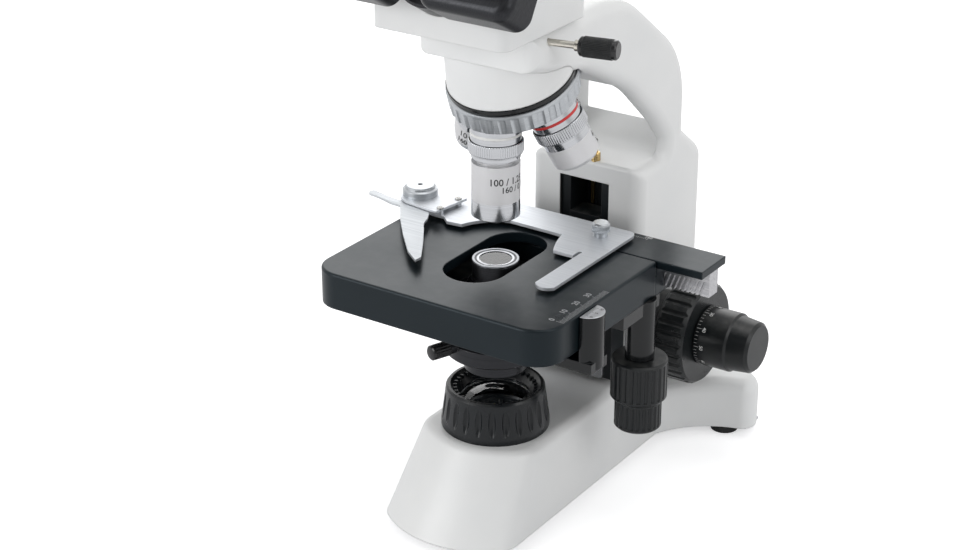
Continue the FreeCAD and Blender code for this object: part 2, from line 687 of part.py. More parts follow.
def make_coarse_shaft():
    """Tube that carries the pinion, bored for the fine spindle."""
    body = new_body("coarse_shaft")
    ring = new_sketch(body, "XY_Plane", -KNOB_END)
    add_circle(ring, 0.0, 0.0, COARSE)
    pad(body, ring, KNOB_END * 2.0)
    gear = new_sketch(body, "XY_Plane", -4.0)
    add_circle(gear, 0.0, 0.0, PINION)
    pad(body, gear, 8.0)
    tooth = new_sketch(body, "XY_Plane", 4.0)
    add_outline(tooth, ((PINION - 1.5, -0.4), (PINION + 0.3, -0.8), (PINION + 0.3, 0.8),
                        (PINION - 1.5, 0.4)))
    repeat_around(body, [pocket(body, tooth, 8.0)], 14)
    bore = new_sketch(body, "XY_Plane", KNOB_END)
    add_circle(bore, 0.0, 0.0, size("fine_shaft_radius") + RUNNING_GAP)
    pocket(body, bore, KNOB_END * 2.0)
    place(body, 0.0, FOCUS_Y, FOCUS_Z, AXIS_Y, 90.0)
    return body


make_coarse_shaft()

coarse_knobs = new_body("coarse_knobs")
knob = size("coarse_knob_radius")
for side in (-1.0, 1.0):
    sketch = new_sketch(coarse_knobs, "XZ_Plane")
    add_outline(sketch, (
        (COARSE, KNOB_START * side), (knob - 4.0, KNOB_START * side),
        (knob - 1.0, (KNOB_START + 2.0) * side), (knob, (KNOB_START + 4.0) * side),
        (knob, (KNOB_END - 2.0) * side), (knob - 1.5, KNOB_END * side),
        (COARSE, KNOB_END * side)))
    revolve(coarse_knobs, sketch)
groove = new_sketch(coarse_knobs, "XY_Plane", KNOB_END + 1.0)
add_circle(groove, knob + 0.6, 0.0, 1.5)
repeat_around(coarse_knobs, [pocket(coarse_knobs, groove, KNOB_END * 2.0 + 2.0)], 30)
place(coarse_knobs, 0.0, FOCUS_Y, FOCUS_Z, AXIS_Y, 90.0)

fine = size("fine_shaft_radius")
fine_knob = size("fine_knob_radius")
FINE_END = FINE_START + size("fine_knob_width")
fine_knobs = turned(
    "fine_knobs", rod_profile(fine, -FINE_START, FINE_START),
    *(((0.0, FINE_START * side), (fine_knob, FINE_START * side),
       (fine_knob, (FINE_END - 12.0) * side), (fine_knob - 1.0, (FINE_END - 11.0) * side),
       (fine_knob - 2.0, (FINE_END - 1.5) * side), (fine_knob - 3.5, FINE_END * side),
       (0.0, FINE_END * side)) for side in (-1.0, 1.0)))
place(fine_knobs, 0.0, FOCUS_Y, FOCUS_Z, AXIS_Y, 90.0)

tension = turned("tension_collar", (
    (BUSH_RADIUS + RUNNING_GAP, TENSION_START), (size("tension_radius"), TENSION_START),
    (size("tension_radius"), TENSION_START + size("tension_width") - 1.0),
    (size("tension_radius") - 1.0, TENSION_START + size("tension_width")),
    (BUSH_RADIUS + RUNNING_GAP, TENSION_START + size("tension_width"))))
place(tension, 0.0, FOCUS_Y, FOCUS_Z, AXIS_Y, 90.0)

# ---------------------------------------------------------------------------------------------
# Illuminator in the base
# ---------------------------------------------------------------------------------------------
TOP = size("tongue_top")
LENS = size("field_lens_radius")
COLLAR_TOP = size("collar_top")
COLLAR_LOW = size("collar_radius_bottom")
collar = turned("illuminator_collar", (
    (LENS + RUNNING_GAP, TOP), (COLLAR_LOW, TOP), (COLLAR_LOW, TOP + 2.5),
    (size("collar_radius_top"), COLLAR_TOP - 1.0), (size("collar_radius_top") - 0.8, COLLAR_TOP),
    (size("collar_mouth"), COLLAR_TOP), (LENS + RUNNING_GAP, COLLAR_TOP - 5.5)))
slant = math.degrees(math.atan2(float(COLLAR_LOW - size("collar_radius_top")),
                                float(COLLAR_TOP - TOP - 3.5)))
scoop = cut_solid(collar, "Ellipsoid", FreeCAD.Rotation(AXIS_Y, -slant),
                  ((COLLAR_LOW + size("collar_radius_top")) / 2.0 + size("scoop_depth"),
                   as_size(0.0), (COLLAR_TOP + TOP + 1.5) / 2.0),
                  Radius1=size("scoop_length"), Radius2=size("scoop_depth") * 2.0,
                  Radius3=size("scoop_width"))
repeat_around(collar, [scoop], 24)

LENS_TOP = size("field_lens_top")
turned("field_lens", (
    (0.0, TOP + 3.0), (LENS, TOP + 3.0), (LENS, LENS_TOP - 4.0),
    (as_size(0.8), LENS_TOP, LENS * 0.55, LENS_TOP - 1.15), (0.0, LENS_TOP)))

CEILING = TOP - size("base_wall")
LED = size("led_radius")
turned(
    "lamp_board", rod_profile(LENS + 6.0, CEILING - size("board_thickness"), CEILING),
    ((0.0, CEILING), (LED, CEILING), (LED, CEILING + 1.5),
     (as_size(0.5), CEILING + 1.5 + LED, LED * 0.72, CEILING + 1.5 + LED * 0.7),
     (0.0, CEILING + 1.5 + LED)))

# ---------------------------------------------------------------------------------------------
# Stage lift: the slider in the arm, its bracket, the rack and the fixed frame of the stage
# ---------------------------------------------------------------------------------------------
SKIRT_BOTTOM = STAGE_TOP - size("stage_skirt")
FRAME_TOP = SKIRT_BOTTOM - CLEARANCE
FRAME_BOTTOM = FRAME_TOP - size("frame_thickness")
SLIDER = size("slider_half")
RACK_BACK = FOCUS_Y - PINION - CLEARANCE
SLIDER_BACK = RACK_BACK - 4.2
BRACKET_FRONT = size("bracket_front")
BRACKET_HALF = size("bracket_half")
CONDENSER_Y = size("condenser_axis_y")
CONDENSER_Z = FRAME_BOTTOM - size("condenser_knob_radius") - size("condenser_knob_drop")
KNOB_SHAFT = size("fine_shaft_radius")

bracket = plate("stage_bracket",
                rectangle(-SLIDER, size("slider_front"), SLIDER, SLIDER_BACK),
                size("slider_bottom"), FRAME_TOP - size("slider_bottom"))
upper = new_sketch(bracket, "XY_Plane", FRAME_TOP)
add_outline(upper, rectangle(-SLIDER, size("block_front") + 1.0, SLIDER, SLIDER_BACK))
pad(bracket, upper, 12.0)
face = new_sketch(bracket, "XY_Plane", size("bracket_bottom"))
add_outline(face, rectangle(-BRACKET_HALF, BRACKET_FRONT, BRACKET_HALF, size("slider_front")))
pad(bracket, face, FRAME_BOTTOM - size("bracket_bottom"))
ear = new_sketch(bracket, "XY_Plane", CONDENSER_Z - 8.0)
add_outline(ear, rectangle(-BRACKET_HALF - 5.0, CONDENSER_Y - 7.0, -BRACKET_HALF,
                           size("slider_front") - 2.0))
pad(bracket, ear, 16.0)
ear_bore = new_sketch(bracket, "YZ_Plane", -BRACKET_HALF)
add_circle(ear_bore, CONDENSER_Y, CONDENSER_Z, KNOB_SHAFT + RUNNING_GAP)
pocket(bracket, ear_bore, 7.0)

bracket_cover = new_body("bracket_cover")
sketch = new_sketch(bracket_cover, "XZ_Plane", -BRACKET_FRONT)
add_outline(sketch, rounded(4.0 - BRACKET_HALF, size("bracket_bottom"), BRACKET_HALF - 4.0,
                            size("bracket_bottom") + 19.0, as_size(2.0)))
pad(bracket_cover, sketch, 1.5)
sketch = new_sketch(bracket_cover, "XZ_Plane", 1.5 - BRACKET_FRONT)
add_circle(sketch, 4.0, size("bracket_bottom") + 5.0, 2.6)
pad(bracket_cover, sketch, 1.6)

rack = new_body("focus_rack")
sketch = new_sketch(rack, "XY_Plane", size("slider_bottom"))
add_outline(sketch, rectangle(-3.0, SLIDER_BACK, 3.0, RACK_BACK))
pad(rack, sketch, 60.0)
tooth = new_sketch(rack, "YZ_Plane")
RACK_PITCH = PINION * (2.0 * math.pi / 14.0)
low = size("slider_bottom") + 1.0
add_outline(tooth, ((RACK_BACK - 1.5, low + 0.6), (RACK_BACK + 1.0, low),
                    (RACK_BACK + 1.0, low + 2.2), (RACK_BACK - 1.5, low + 1.6)))
cut = pocket(rack, tooth, 8.0, both_ways=True)
teeth = rack.newObject("PartDesign::LinearPattern", "Teeth")
teeth.Originals = [cut]
teeth.Direction = (tooth, ["V_Axis"])
bind(teeth, "Length", RACK_PITCH * 19.0)
teeth.Occurrences = 20
rack.Tip = teeth

FRAME_HALF = size("frame_half")
frame = plate("stage_frame", (
    (-FRAME_HALF, -32.0), (FRAME_HALF, -32.0), (FRAME_HALF, size("rail_back") - 0.5),
    (BRACKET_HALF, size("rail_back") - 0.5), (BRACKET_HALF, size("slider_front")),
    (-BRACKET_HALF, size("slider_front")), (-BRACKET_HALF, size("rail_back") - 0.5),
    (-FRAME_HALF, size("rail_back") - 0.5)), FRAME_BOTTOM, size("frame_thickness"),
    holes=((0.0, 0.0, size("frame_hole")),))
for side in (-1.0, 1.0):
    sketch = new_sketch(frame, "XY_Plane", FRAME_TOP)
    middle = (FRAME_HALF - 11.0) * side
    add_outline(sketch, rectangle(middle - 3.0, -30.0, middle + 3.0, 12.0))
    pad(frame, sketch, size("stage_skirt") - size("stage_thickness"))

PILLAR_X = size("pillar_x")
PILLAR_Y = size("pillar_y")
PILLAR = size("pillar_radius")
pillar = plate("vernier_pillar", (
    (PILLAR_X, -PILLAR_Y - PILLAR), (PILLAR_X, -PILLAR_Y + PILLAR, PILLAR_X + PILLAR, -PILLAR_Y)),
    FRAME_BOTTOM - 4.0, STAGE_TOP - FRAME_BOTTOM + 3.0)
sketch = new_sketch(pillar, "XY_Plane", FRAME_BOTTOM - 5.0)
add_outline(sketch, rectangle(FRAME_HALF - 4.0, -PILLAR_Y - PILLAR, PILLAR_X + PILLAR - 1.0,
                              -PILLAR_Y + PILLAR - 1.4))
pad(pillar, sketch, 5.0)

# ---------------------------------------------------------------------------------------------
# Stage plate with its skirt, the rail behind it and the drive column below
# ---------------------------------------------------------------------------------------------
STAGE_HALF = size("stage_half")
STAGE_FRONT = size("stage_front")
STAGE_BACK = size("stage_back")
WALL = size("stage_wall")


def make_stage_plate():
    """Square casting with round front corners, hollow below, slotted for the condenser."""
    corner = size("stage_corner")
    inset = corner * (1.0 - math.sqrt(0.5))
    body = new_body("stage_plate")
    outline = new_sketch(body, "XY_Plane", SKIRT_BOTTOM)
    add_outline(outline, (
        (-STAGE_HALF, corner - STAGE_FRONT),
        (corner - STAGE_HALF, -STAGE_FRONT, inset - STAGE_HALF, inset - STAGE_FRONT),
        (STAGE_HALF - corner, -STAGE_FRONT),
        (STAGE_HALF, corner - STAGE_FRONT, STAGE_HALF - inset, inset - STAGE_FRONT),
        (STAGE_HALF, STAGE_BACK), (-STAGE_HALF, STAGE_BACK)))
    pad(body, outline, size("stage_skirt"))
    top = STAGE_TOP.value
    round_edges(body, 1.2, lambda edge: edge.BoundBox.ZMin > top - 1e-3
                and edge.BoundBox.YMin < STAGE_BACK.value - 0.1)
    hollow = new_sketch(body, "XY_Plane", SKIRT_BOTTOM)
    add_outline(hollow, rounded(WALL - STAGE_HALF, WALL - STAGE_FRONT, STAGE_HALF - WALL,
                                STAGE_BACK + corner, corner - WALL))
    pocket(body, hollow, size("stage_skirt") - size("stage_thickness"), reverse=True)
    slot = new_sketch(body, "XY_Plane", STAGE_TOP)
    half = size("stage_slot_half")
    end = size("stage_slot_end")
    add_outline(slot, ((half, end - half), (-half, end - half, 0.0, end),
                       (-half, half - end), (half, half - end, 0.0, -end)))
    pocket(body, slot, size("stage_thickness") + 1.0)
    return body


make_stage_plate()

RAIL_FRONT = size("rail_front")
RAIL_BACK = size("rail_back")
RAIL_TOP = STAGE_TOP - size("slide_height")
CHANNEL_FRONT = RAIL_FRONT + 7.6
CHANNEL_BACK = RAIL_BACK - 6.9
rail = new_body("stage_rail")
sketch = new_sketch(rail, "YZ_Plane", -size("rail_left"))
add_outline(sketch, (
    (STAGE_BACK, SKIRT_BOTTOM), (RAIL_BACK, SKIRT_BOTTOM), (RAIL_BACK, RAIL_TOP),
    (CHANNEL_BACK, RAIL_TOP), (CHANNEL_BACK, SKIRT_BOTTOM + 1.5),
    (CHANNEL_FRONT, SKIRT_BOTTOM + 1.5), (CHANNEL_FRONT, RAIL_TOP), (RAIL_FRONT, RAIL_TOP),
    (RAIL_FRONT, RAIL_TOP - 4.0), (STAGE_BACK, RAIL_TOP - 4.0)))
pad(rail, sketch, size("rail_left") + STAGE_HALF)

DRIVE_X = size("drive_x")
DRIVE_Y = size("drive_y")
DRIVE_RADIUS = size("drive_column_radius")
SLEEVE = size("drive_sleeve_radius")
ROD = size("drive_rod_radius")
BLOCK_BOTTOM = SKIRT_BOTTOM - 6.5
UPPER_TOP = size("upper_knob_top")
UPPER_BOTTOM = size("upper_knob_bottom")
column = plate("drive_column", rectangle(FRAME_HALF + 2.0, DRIVE_Y - 24.0, STAGE_HALF,
                                         DRIVE_Y + 9.0), BLOCK_BOTTOM, 6.5)
sketch = new_sketch(column, "XY_Plane", UPPER_TOP + CLEARANCE)
add_circle(sketch, DRIVE_X, DRIVE_Y, DRIVE_RADIUS)
pad(column, sketch, SKIRT_BOTTOM - UPPER_TOP - CLEARANCE)
sketch = new_sketch(column, "XY_Plane", SKIRT_BOTTOM - 1.0)
add_circle(sketch, DRIVE_X, DRIVE_Y, SLEEVE + RUNNING_GAP)
pocket(column, sketch, 40.0)


def make_drive_knob(name, radius, low, high, shaft, bore, shaft_top):
    """A ribbed knob on a tube or rod that runs up inside the column."""
    shape = ((bore, low), (radius - 0.8, low), (radius, low + 0.8), (radius, high - 0.8),
             (radius - 0.8, high), (shaft, high), (shaft, shaft_top), (bore, shaft_top))
    body = turned(name, shape)
    rib = new_sketch(body, "XY_Plane", high - 1.6)
    add_circle(rib, radius + 0.5, 0.0, 1.1)
    repeat_around(body, [pocket(body, rib, high - low - 3.2)], 24)
    place(body, DRIVE_X, DRIVE_Y, 0.0)
    return body


make_drive_knob("y_drive_knob", size("upper_knob_radius"), UPPER_BOTTOM, UPPER_TOP,
                         SLEEVE, ROD + RUNNING_GAP, SKIRT_BOTTOM - 2.5)
make_drive_knob("x_drive_knob", size("lower_knob_radius"), size("lower_knob_bottom"),
                         UPPER_BOTTOM - CLEARANCE, ROD, 0.0, SKIRT_BOTTOM - 1.5)

# ---------------------------------------------------------------------------------------------
# Specimen holder: cross slide, rack, plate, sprung finger and its pivot
# ---------------------------------------------------------------------------------------------
HOLDER_BOTTOM = STAGE_TOP + size("holder_lift")
HOLDER_TOP = HOLDER_BOTTOM + size("holder_thickness")
SLIDE_END = size("slide_right_end")
PIVOT_X = size("pivot_x")
PIVOT_Y = size("pivot_y")
PIVOT_PIN = size("pivot_pin_radius")
FINGER_BOTTOM = HOLDER_TOP + CLEARANCE
COVER_BOTTOM = FINGER_BOTTOM + size("finger_thickness") + CLEARANCE
COVER_PLATE_TOP = COVER_BOTTOM + 1.2

x_slide = plate("x_slide", rectangle(-size("rail_left"), RAIL_FRONT + CLEARANCE, SLIDE_END,
                                     RAIL_BACK - CLEARANCE), RAIL_TOP + CLEARANCE,
                size("slide_height") - CLEARANCE)
sketch = new_sketch(x_slide, "XY_Plane", STAGE_TOP)
add_outline(sketch, rectangle(4.0 - size("rail_left"), RAIL_FRONT + 3.0, 38.0,
                              RAIL_BACK - 7.5))
pad(x_slide, sketch, size("holder_lift"))

x_rack = new_body("x_rack")
sketch = new_sketch(x_rack, "YZ_Plane", -30.0)
add_outline(sketch, rectangle(CHANNEL_FRONT + CLEARANCE, SKIRT_BOTTOM + 1.5 + CLEARANCE,
                              CHANNEL_BACK - CLEARANCE, RAIL_TOP + CLEARANCE))
pad(x_rack, sketch, SLIDE_END + 30.0)
tooth = new_sketch(x_rack, "XZ_Plane", -CHANNEL_FRONT - CLEARANCE - 1.0)
low = SKIRT_BOTTOM + 1.0
add_outline(tooth, ((SLIDE_END - 28.5, low), (SLIDE_END - 27.4, low),
                    (SLIDE_END - 24.4, low + 8.0), (SLIDE_END - 25.5, low + 8.0)))
cut = pocket(x_rack, tooth, 3.0, reverse=True)
teeth = x_rack.newObject("PartDesign::LinearPattern", "Teeth")
teeth.Originals = [cut]
teeth.Direction = (tooth, ["H_Axis"])
teeth.Length = 22.5
teeth.Occurrences = 10
x_rack.Tip = teeth

SLIDE_RIGHT = size("slide_right")
SLIDE_BACK = size("slide_back")
plate("holder_plate", (
    (-60.0, RAIL_BACK - 6.2), (-PIVOT_X - 1.0, PIVOT_Y + 9.0),
    (4.0 - PIVOT_X, PIVOT_Y - 9.6, -PIVOT_X - 9.4, PIVOT_Y - 1.6),
    (-48.5, 20.4), (-43.8, 20.5), (-39.0, 16.2), (-30.8, 17.2),
    (-14.1, 34.0, -25.5, 26.5), (SLIDE_RIGHT - 18.7, 33.4),
    (SLIDE_RIGHT - 12.4, SLIDE_BACK, SLIDE_RIGHT - 16.4, 25.0),
    (SLIDE_RIGHT - 1.6, SLIDE_BACK), (SLIDE_RIGHT - 1.9, SLIDE_BACK + 4.2),
    (SLIDE_RIGHT, SLIDE_BACK + 3.6, SLIDE_RIGHT - 0.8, SLIDE_BACK + 5.6),
    (SLIDE_RIGHT, -19.0), (SLIDE_RIGHT + 10.0, -19.0, SLIDE_RIGHT + 5.0, -22.0),
    (SLIDE_RIGHT + 10.0, RAIL_BACK - 10.2),
    (SLIDE_RIGHT + 6.0, RAIL_BACK - 6.2, SLIDE_RIGHT + 8.83, RAIL_BACK - 7.37)),
    HOLDER_BOTTOM, size("holder_thickness"))

thumb = size("thumb_radius")
thumb_screw = turned("thumb_screw", (
    (0.0, HOLDER_TOP), (thumb * 0.8, HOLDER_TOP), (thumb * 0.8, HOLDER_TOP + 2.0),
    (thumb, HOLDER_TOP + 2.5), (thumb, HOLDER_TOP + size("thumb_height") - 0.6),
    (thumb - 0.6, HOLDER_TOP + size("thumb_height")), (0.0, HOLDER_TOP + size("thumb_height"))))
place(thumb_screw, size("thumb_x"), size("thumb_y"), 0.0)

finger_cover = plate("finger_cover", (
    (19.0 - PIVOT_X, PIVOT_Y - 14.0), (22.0 - PIVOT_X, PIVOT_Y + 8.0),
    (3.0 - PIVOT_X, PIVOT_Y + 10.0),
    (1.0 - PIVOT_X, PIVOT_Y - 11.5, -PIVOT_X - 8.6, PIVOT_Y + 0.5)),
    COVER_BOTTOM, as_size(1.2))
for spacer_x, spacer_y in ((18.5 - PIVOT_X, PIVOT_Y - 9.5), (19.0 - PIVOT_X, PIVOT_Y + 5.0)):
    sketch = new_sketch(finger_cover, "XY_Plane", HOLDER_TOP)
    add_circle(sketch, spacer_x, spacer_y, 1.6)
    pad(finger_cover, sketch, COVER_PLATE_TOP + 0.7 - HOLDER_TOP)
sketch = new_sketch(finger_cover, "XY_Plane", COVER_PLATE_TOP)
add_circle(sketch, -PIVOT_X, PIVOT_Y, PIVOT_PIN)
pocket(finger_cover, sketch, 2.0)

cap = size("pivot_cap_radius")
CAP_TOP = COVER_PLATE_TOP + size("pivot_cap_height")
pivot_cap = turned("pivot_cap", (
    (0.0, HOLDER_TOP), (PIVOT_PIN, HOLDER_TOP), (PIVOT_PIN, COVER_PLATE_TOP),
    (cap, COVER_PLATE_TOP), (cap, CAP_TOP - 2.0), (cap - 1.2, CAP_TOP - 1.4),
    (cap - 1.2, CAP_TOP - 0.6), (cap - 1.8, CAP_TOP), (1.2, CAP_TOP), (1.2, CAP_TOP - 1.5),
    (0.0, CAP_TOP - 1.5)))
place(pivot_cap, -PIVOT_X, PIVOT_Y, 0.0)

finger = plate("slide_finger", (
    (-7.5, 0.0, 1.0, 7.4), (-5.2, -9.1), (-19.1, -6.6, -11.6, -8.3), (-24.0, -5.7),
    (-22.3, -10.0, -25.0, -8.2), (-8.5, -13.6, -15.9, -11.3), (-2.2, -14.0), (1.3, -18.7),
    (7.4, -27.0), (19.9, -41.8),
    (33.4, -56.5), (42.1, -62.9), (42.4, -58.7), (33.2, -44.2), (23.9, -30.5),
    (18.8, -20.8, 20.6, -25.9), (10.0, -8.0, 15.0, -14.0)),
    FINGER_BOTTOM, size("finger_thickness"), holes=((0.0, 0.0, PIVOT_PIN + RUNNING_GAP),))
place(finger, -PIVOT_X, PIVOT_Y, 0.0)

# ---------------------------------------------------------------------------------------------
# Condenser: carrier on the bracket, lens mount, iris ring with its lever, height knob
# ---------------------------------------------------------------------------------------------
CARRIER_BOTTOM = size("carrier_bottom")
CARRIER_TOP = CARRIER_BOTTOM + size("carrier_height")
BODY_RADIUS = size("condenser_body_radius")
STEM = size("iris_stem_radius")
IRIS_BOTTOM = size("iris_bottom")
FLANGE = size("condenser_flange")
FLANGE_BOTTOM = CARRIER_BOTTOM - 5.0
CARRIER_BACK = BRACKET_FRONT - CLEARANCE
carrier = plate("condenser_carrier",
                rectangle(-12.0, BODY_RADIUS, 12.0, CARRIER_BACK), CARRIER_BOTTOM,
                size("carrier_height"))
sketch = new_sketch(carrier, "XY_Plane", CARRIER_BOTTOM)
add_circle(sketch, 0.0, 0.0, size("condenser_ring"))
pad(carrier, sketch, size("carrier_height"))
sketch = new_sketch(carrier, "XY_Plane", CARRIER_TOP)
add_circle(sketch, 0.0, 0.0, BODY_RADIUS)
pocket(carrier, sketch, size("carrier_height") + 1.0)
sketch = new_sketch(carrier, "XY_Plane", CONDENSER_Z - 10.0)
add_outline(sketch, rectangle(-17.0, CARRIER_BACK - 5.0, 17.0, CARRIER_BACK))
pad(carrier, sketch, CARRIER_TOP - CONDENSER_Z + 10.0)

LENS_LOW = STEM - 2.0
LENS_HIGH = size("condenser_lens_radius")
CONDENSER_TOP = size("condenser_top")
CONDENSER_BOTTOM = size("condenser_bottom")
NECK = size("condenser_top_radius")
turned("condenser_body", (
    (0.0, CONDENSER_BOTTOM + 1.5), (LENS_LOW, CONDENSER_BOTTOM + 1.5),
    (LENS_LOW, CONDENSER_BOTTOM), (STEM + 1.0, CONDENSER_BOTTOM),
    (STEM + 1.0, IRIS_BOTTOM - CLEARANCE), (STEM, IRIS_BOTTOM - CLEARANCE),
    (STEM, FLANGE_BOTTOM), (FLANGE, FLANGE_BOTTOM), (FLANGE, CARRIER_BOTTOM),
    (BODY_RADIUS, CARRIER_BOTTOM), (BODY_RADIUS, CARRIER_TOP + 5.0),
    (NECK, CONDENSER_TOP - 8.4), (NECK, CONDENSER_TOP - 0.8), (NECK - 0.8, CONDENSER_TOP),
    (LENS_HIGH, CONDENSER_TOP), (LENS_HIGH, CONDENSER_TOP - 1.4), (0.0, CONDENSER_TOP - 1.4)))
turned(
    "condenser_lenses", rod_profile(LENS_HIGH, CONDENSER_TOP - 1.4, CONDENSER_TOP - 0.2),
    rod_profile(LENS_LOW, CONDENSER_BOTTOM + 0.2, CONDENSER_BOTTOM + 1.5))

iris = turned("iris_ring", (
    (STEM + RUNNING_GAP, IRIS_BOTTOM), (size("iris_radius") - 0.8, IRIS_BOTTOM),
    (size("iris_radius"), IRIS_BOTTOM + 0.8), (size("iris_radius"), FLANGE_BOTTOM - 1.1),
    (size("iris_radius") - 0.8, FLANGE_BOTTOM - CLEARANCE),
    (STEM + RUNNING_GAP, FLANGE_BOTTOM - CLEARANCE)))
sketch = new_sketch(iris, "XZ_Plane", size("iris_radius") - 2.0)
add_circle(sketch, 0.0, FLANGE_BOTTOM - size("lever_radius") + 2.0, size("lever_radius"))
pad(iris, sketch, size("lever_reach") - size("iris_radius") + 2.0)
place(iris, 0.0, 0.0, 0.0, AXIS_Z, -size("lever_angle"))

CONDENSER_KNOB = size("condenser_knob_radius")
condenser_knob = turned("condenser_knob", (
    (0.0, BRACKET_HALF - 1.0), (KNOB_SHAFT, BRACKET_HALF - 1.0),
    (KNOB_SHAFT, BRACKET_HALF + 8.0), (CONDENSER_KNOB - 1.5, BRACKET_HALF + 8.0),
    (CONDENSER_KNOB, BRACKET_HALF + 9.5), (CONDENSER_KNOB, BRACKET_HALF + 19.0),
    (CONDENSER_KNOB - 1.5, BRACKET_HALF + 20.5), (0.0, BRACKET_HALF + 20.5)))
rib = new_sketch(condenser_knob, "XY_Plane", BRACKET_HALF + 18.5)
add_circle(rib, CONDENSER_KNOB + 0.5, 0.0, 1.1)
repeat_around(condenser_knob, [pocket(condenser_knob, rib, 8.5)], 20)
place(condenser_knob, 0.0, CONDENSER_Y, CONDENSER_Z, AXIS_Y, -90.0)

# ---------------------------------------------------------------------------------------------
# Nosepiece: carrier under the arm, tilted turret, spindle, four objectives
# Everything here is drawn about the point where all objective axes meet, then put in place.
# ---------------------------------------------------------------------------------------------
THREAD = size("thread_radius")
SPINDLE = size("spindle_radius")
TURRET_AXIS = Vector(0, math.sin(math.radians(TILT.value)), -math.cos(math.radians(TILT.value)))


def make_nosepiece_carrier():
    """Fairing lofted from the tilted seal up to the level underside of the arm."""
    low = document.addObject("Part::Circle", "FairingLow")
    bind(low, "Radius", size("carrier_radius"))
    reach = CARRIER_FACE
    low.Placement = FreeCAD.Placement(Vector(), FreeCAD.Rotation(AXIS_X, TILT.value))
    bind(low, "Placement.Base.y", -reach * sine(TILT))
    bind(low, "Placement.Base.z", MEETING + reach * cosine(TILT))
    bind(low, "Placement.Rotation.Angle", as_size(1.0) * TILT)
    high = document.addObject("Part::Circle", "FairingHigh")
    bind(high, "Radius", ARM_HALF)
    bind(high, "Placement.Base.y", ARM_HALF - size("arm_front"))
    bind(high, "Placement.Base.z", ARM_TOP - 16.0)
    fairing = document.addObject("Part::Loft", "Fairing")
    fairing.Sections = [low, high]
    fairing.Solid = True
    fairing.Ruled = True
    trimmed = document.addObject("Part::Cut", "nosepiece_carrier")
    trimmed.Base = fairing
    trimmed.Tool = arm
    trimmed.Label = "nosepiece_carrier"
    PIECES.append(trimmed)
    return trimmed


make_nosepiece_carrier()

spindle = turned("nosepiece_spindle", (
    (0.0, CARRIER_FACE), (SPINDLE, CARRIER_FACE), (SPINDLE, SHOULDER - 0.5),
    (SPINDLE + 2.2, SHOULDER - 0.5), (SPINDLE + 1.4, SHOULDER - 2.5), (0.0, SHOULDER - 2.5)))
place(spindle, 0.0, 0.0, MEETING, AXIS_X, TILT)


def seat_face(radius):
    """Height of the cone that is square to every objective axis, at a given radius."""
    return (SHOULDER + radius * sine(TILT)) / cosine(TILT)


def make_turret():
    """Domed disc with a grip ring and four threaded seats, each square to its own axis."""
    inner = SPINDLE + RUNNING_GAP
    body = turned("nosepiece_turret", (
        (inner, TURRET_TOP), (TURRET - 2.4, TURRET_TOP), (TURRET, TURRET_TOP - 0.9),
        (TURRET, RING_BOTTOM), (TURRET - 1.4, RING_BOTTOM - 1.1),
        (TURRET - 2.4, seat_face(TURRET - 2.4)), (as_size(9.0), seat_face(as_size(9.0))),
        (inner, seat_face(as_size(9.0)))))
    groove = new_sketch(body, "XY_Plane", TURRET_TOP - 2.6)
    add_circle(groove, TURRET + 2.0, 0.0, 2.8)
    repeat_around(body, [pocket(body, groove, size("turret_ring_height"))], 32)
    reach = -SHOULDER - size("thread_length") - RUNNING_GAP
    seat = drill(body, THREAD + RUNNING_GAP, size("thread_length") + 6.0,
                 FreeCAD.Rotation(AXIS_X, 180.0 - TILT.value),
                 (as_size(0.0), -reach * sine(TILT), -reach * cosine(TILT)))
    repeat_around(body, [seat], size("objective_count"))
    place(body, 0.0, 0.0, MEETING, AXIS_X, TILT)
    return body


make_turret()

seal = turned("nosepiece_seal", tube_profile(SPINDLE + RUNNING_GAP, TURRET - 0.6, TURRET_TOP,
                                             SEAL_TOP))
place(seal, 0.0, 0.0, MEETING, AXIS_X, TILT)


KNURL = size("knurl_radius")
SLEEVE_TIP = SHOULDER - size("sleeve_length")
STEM_RADIUS = size("stem_radius")


def make_objective(name, turn, *lower):
    """Thread, shoulder, knurled ring and sleeve; lower holds the rest of the outline."""
    shoulder = size("shoulder_radius")
    body = turned(name, (
        (0.0, SHOULDER + size("thread_length")), (THREAD, SHOULDER + size("thread_length")),
        (THREAD, SHOULDER), (shoulder, SHOULDER), (shoulder, SHOULDER - 7.2),
        (KNURL, SHOULDER - 7.6), (KNURL, SHOULDER - 12.3), (size("sleeve_radius"),
                                                            SHOULDER - 12.7)) + lower)
    place(body, 0.0, 0.0, MEETING, TURRET_AXIS, turn)
    return body


def make_sprung_barrel(name, turn, *lower):
    """Front barrel of a long objective, which slides on a stem inside the sleeve."""
    top = SLEEVE_TIP - size("barrel_gap")
    body = turned(name, ((0.0, SHOULDER - 5.0), (STEM_RADIUS, SHOULDER - 5.0),
                         (STEM_RADIUS, top), (size("barrel_radius"), top)) + lower)
    place(body, 0.0, 0.0, MEETING, TURRET_AXIS, turn)
    return body


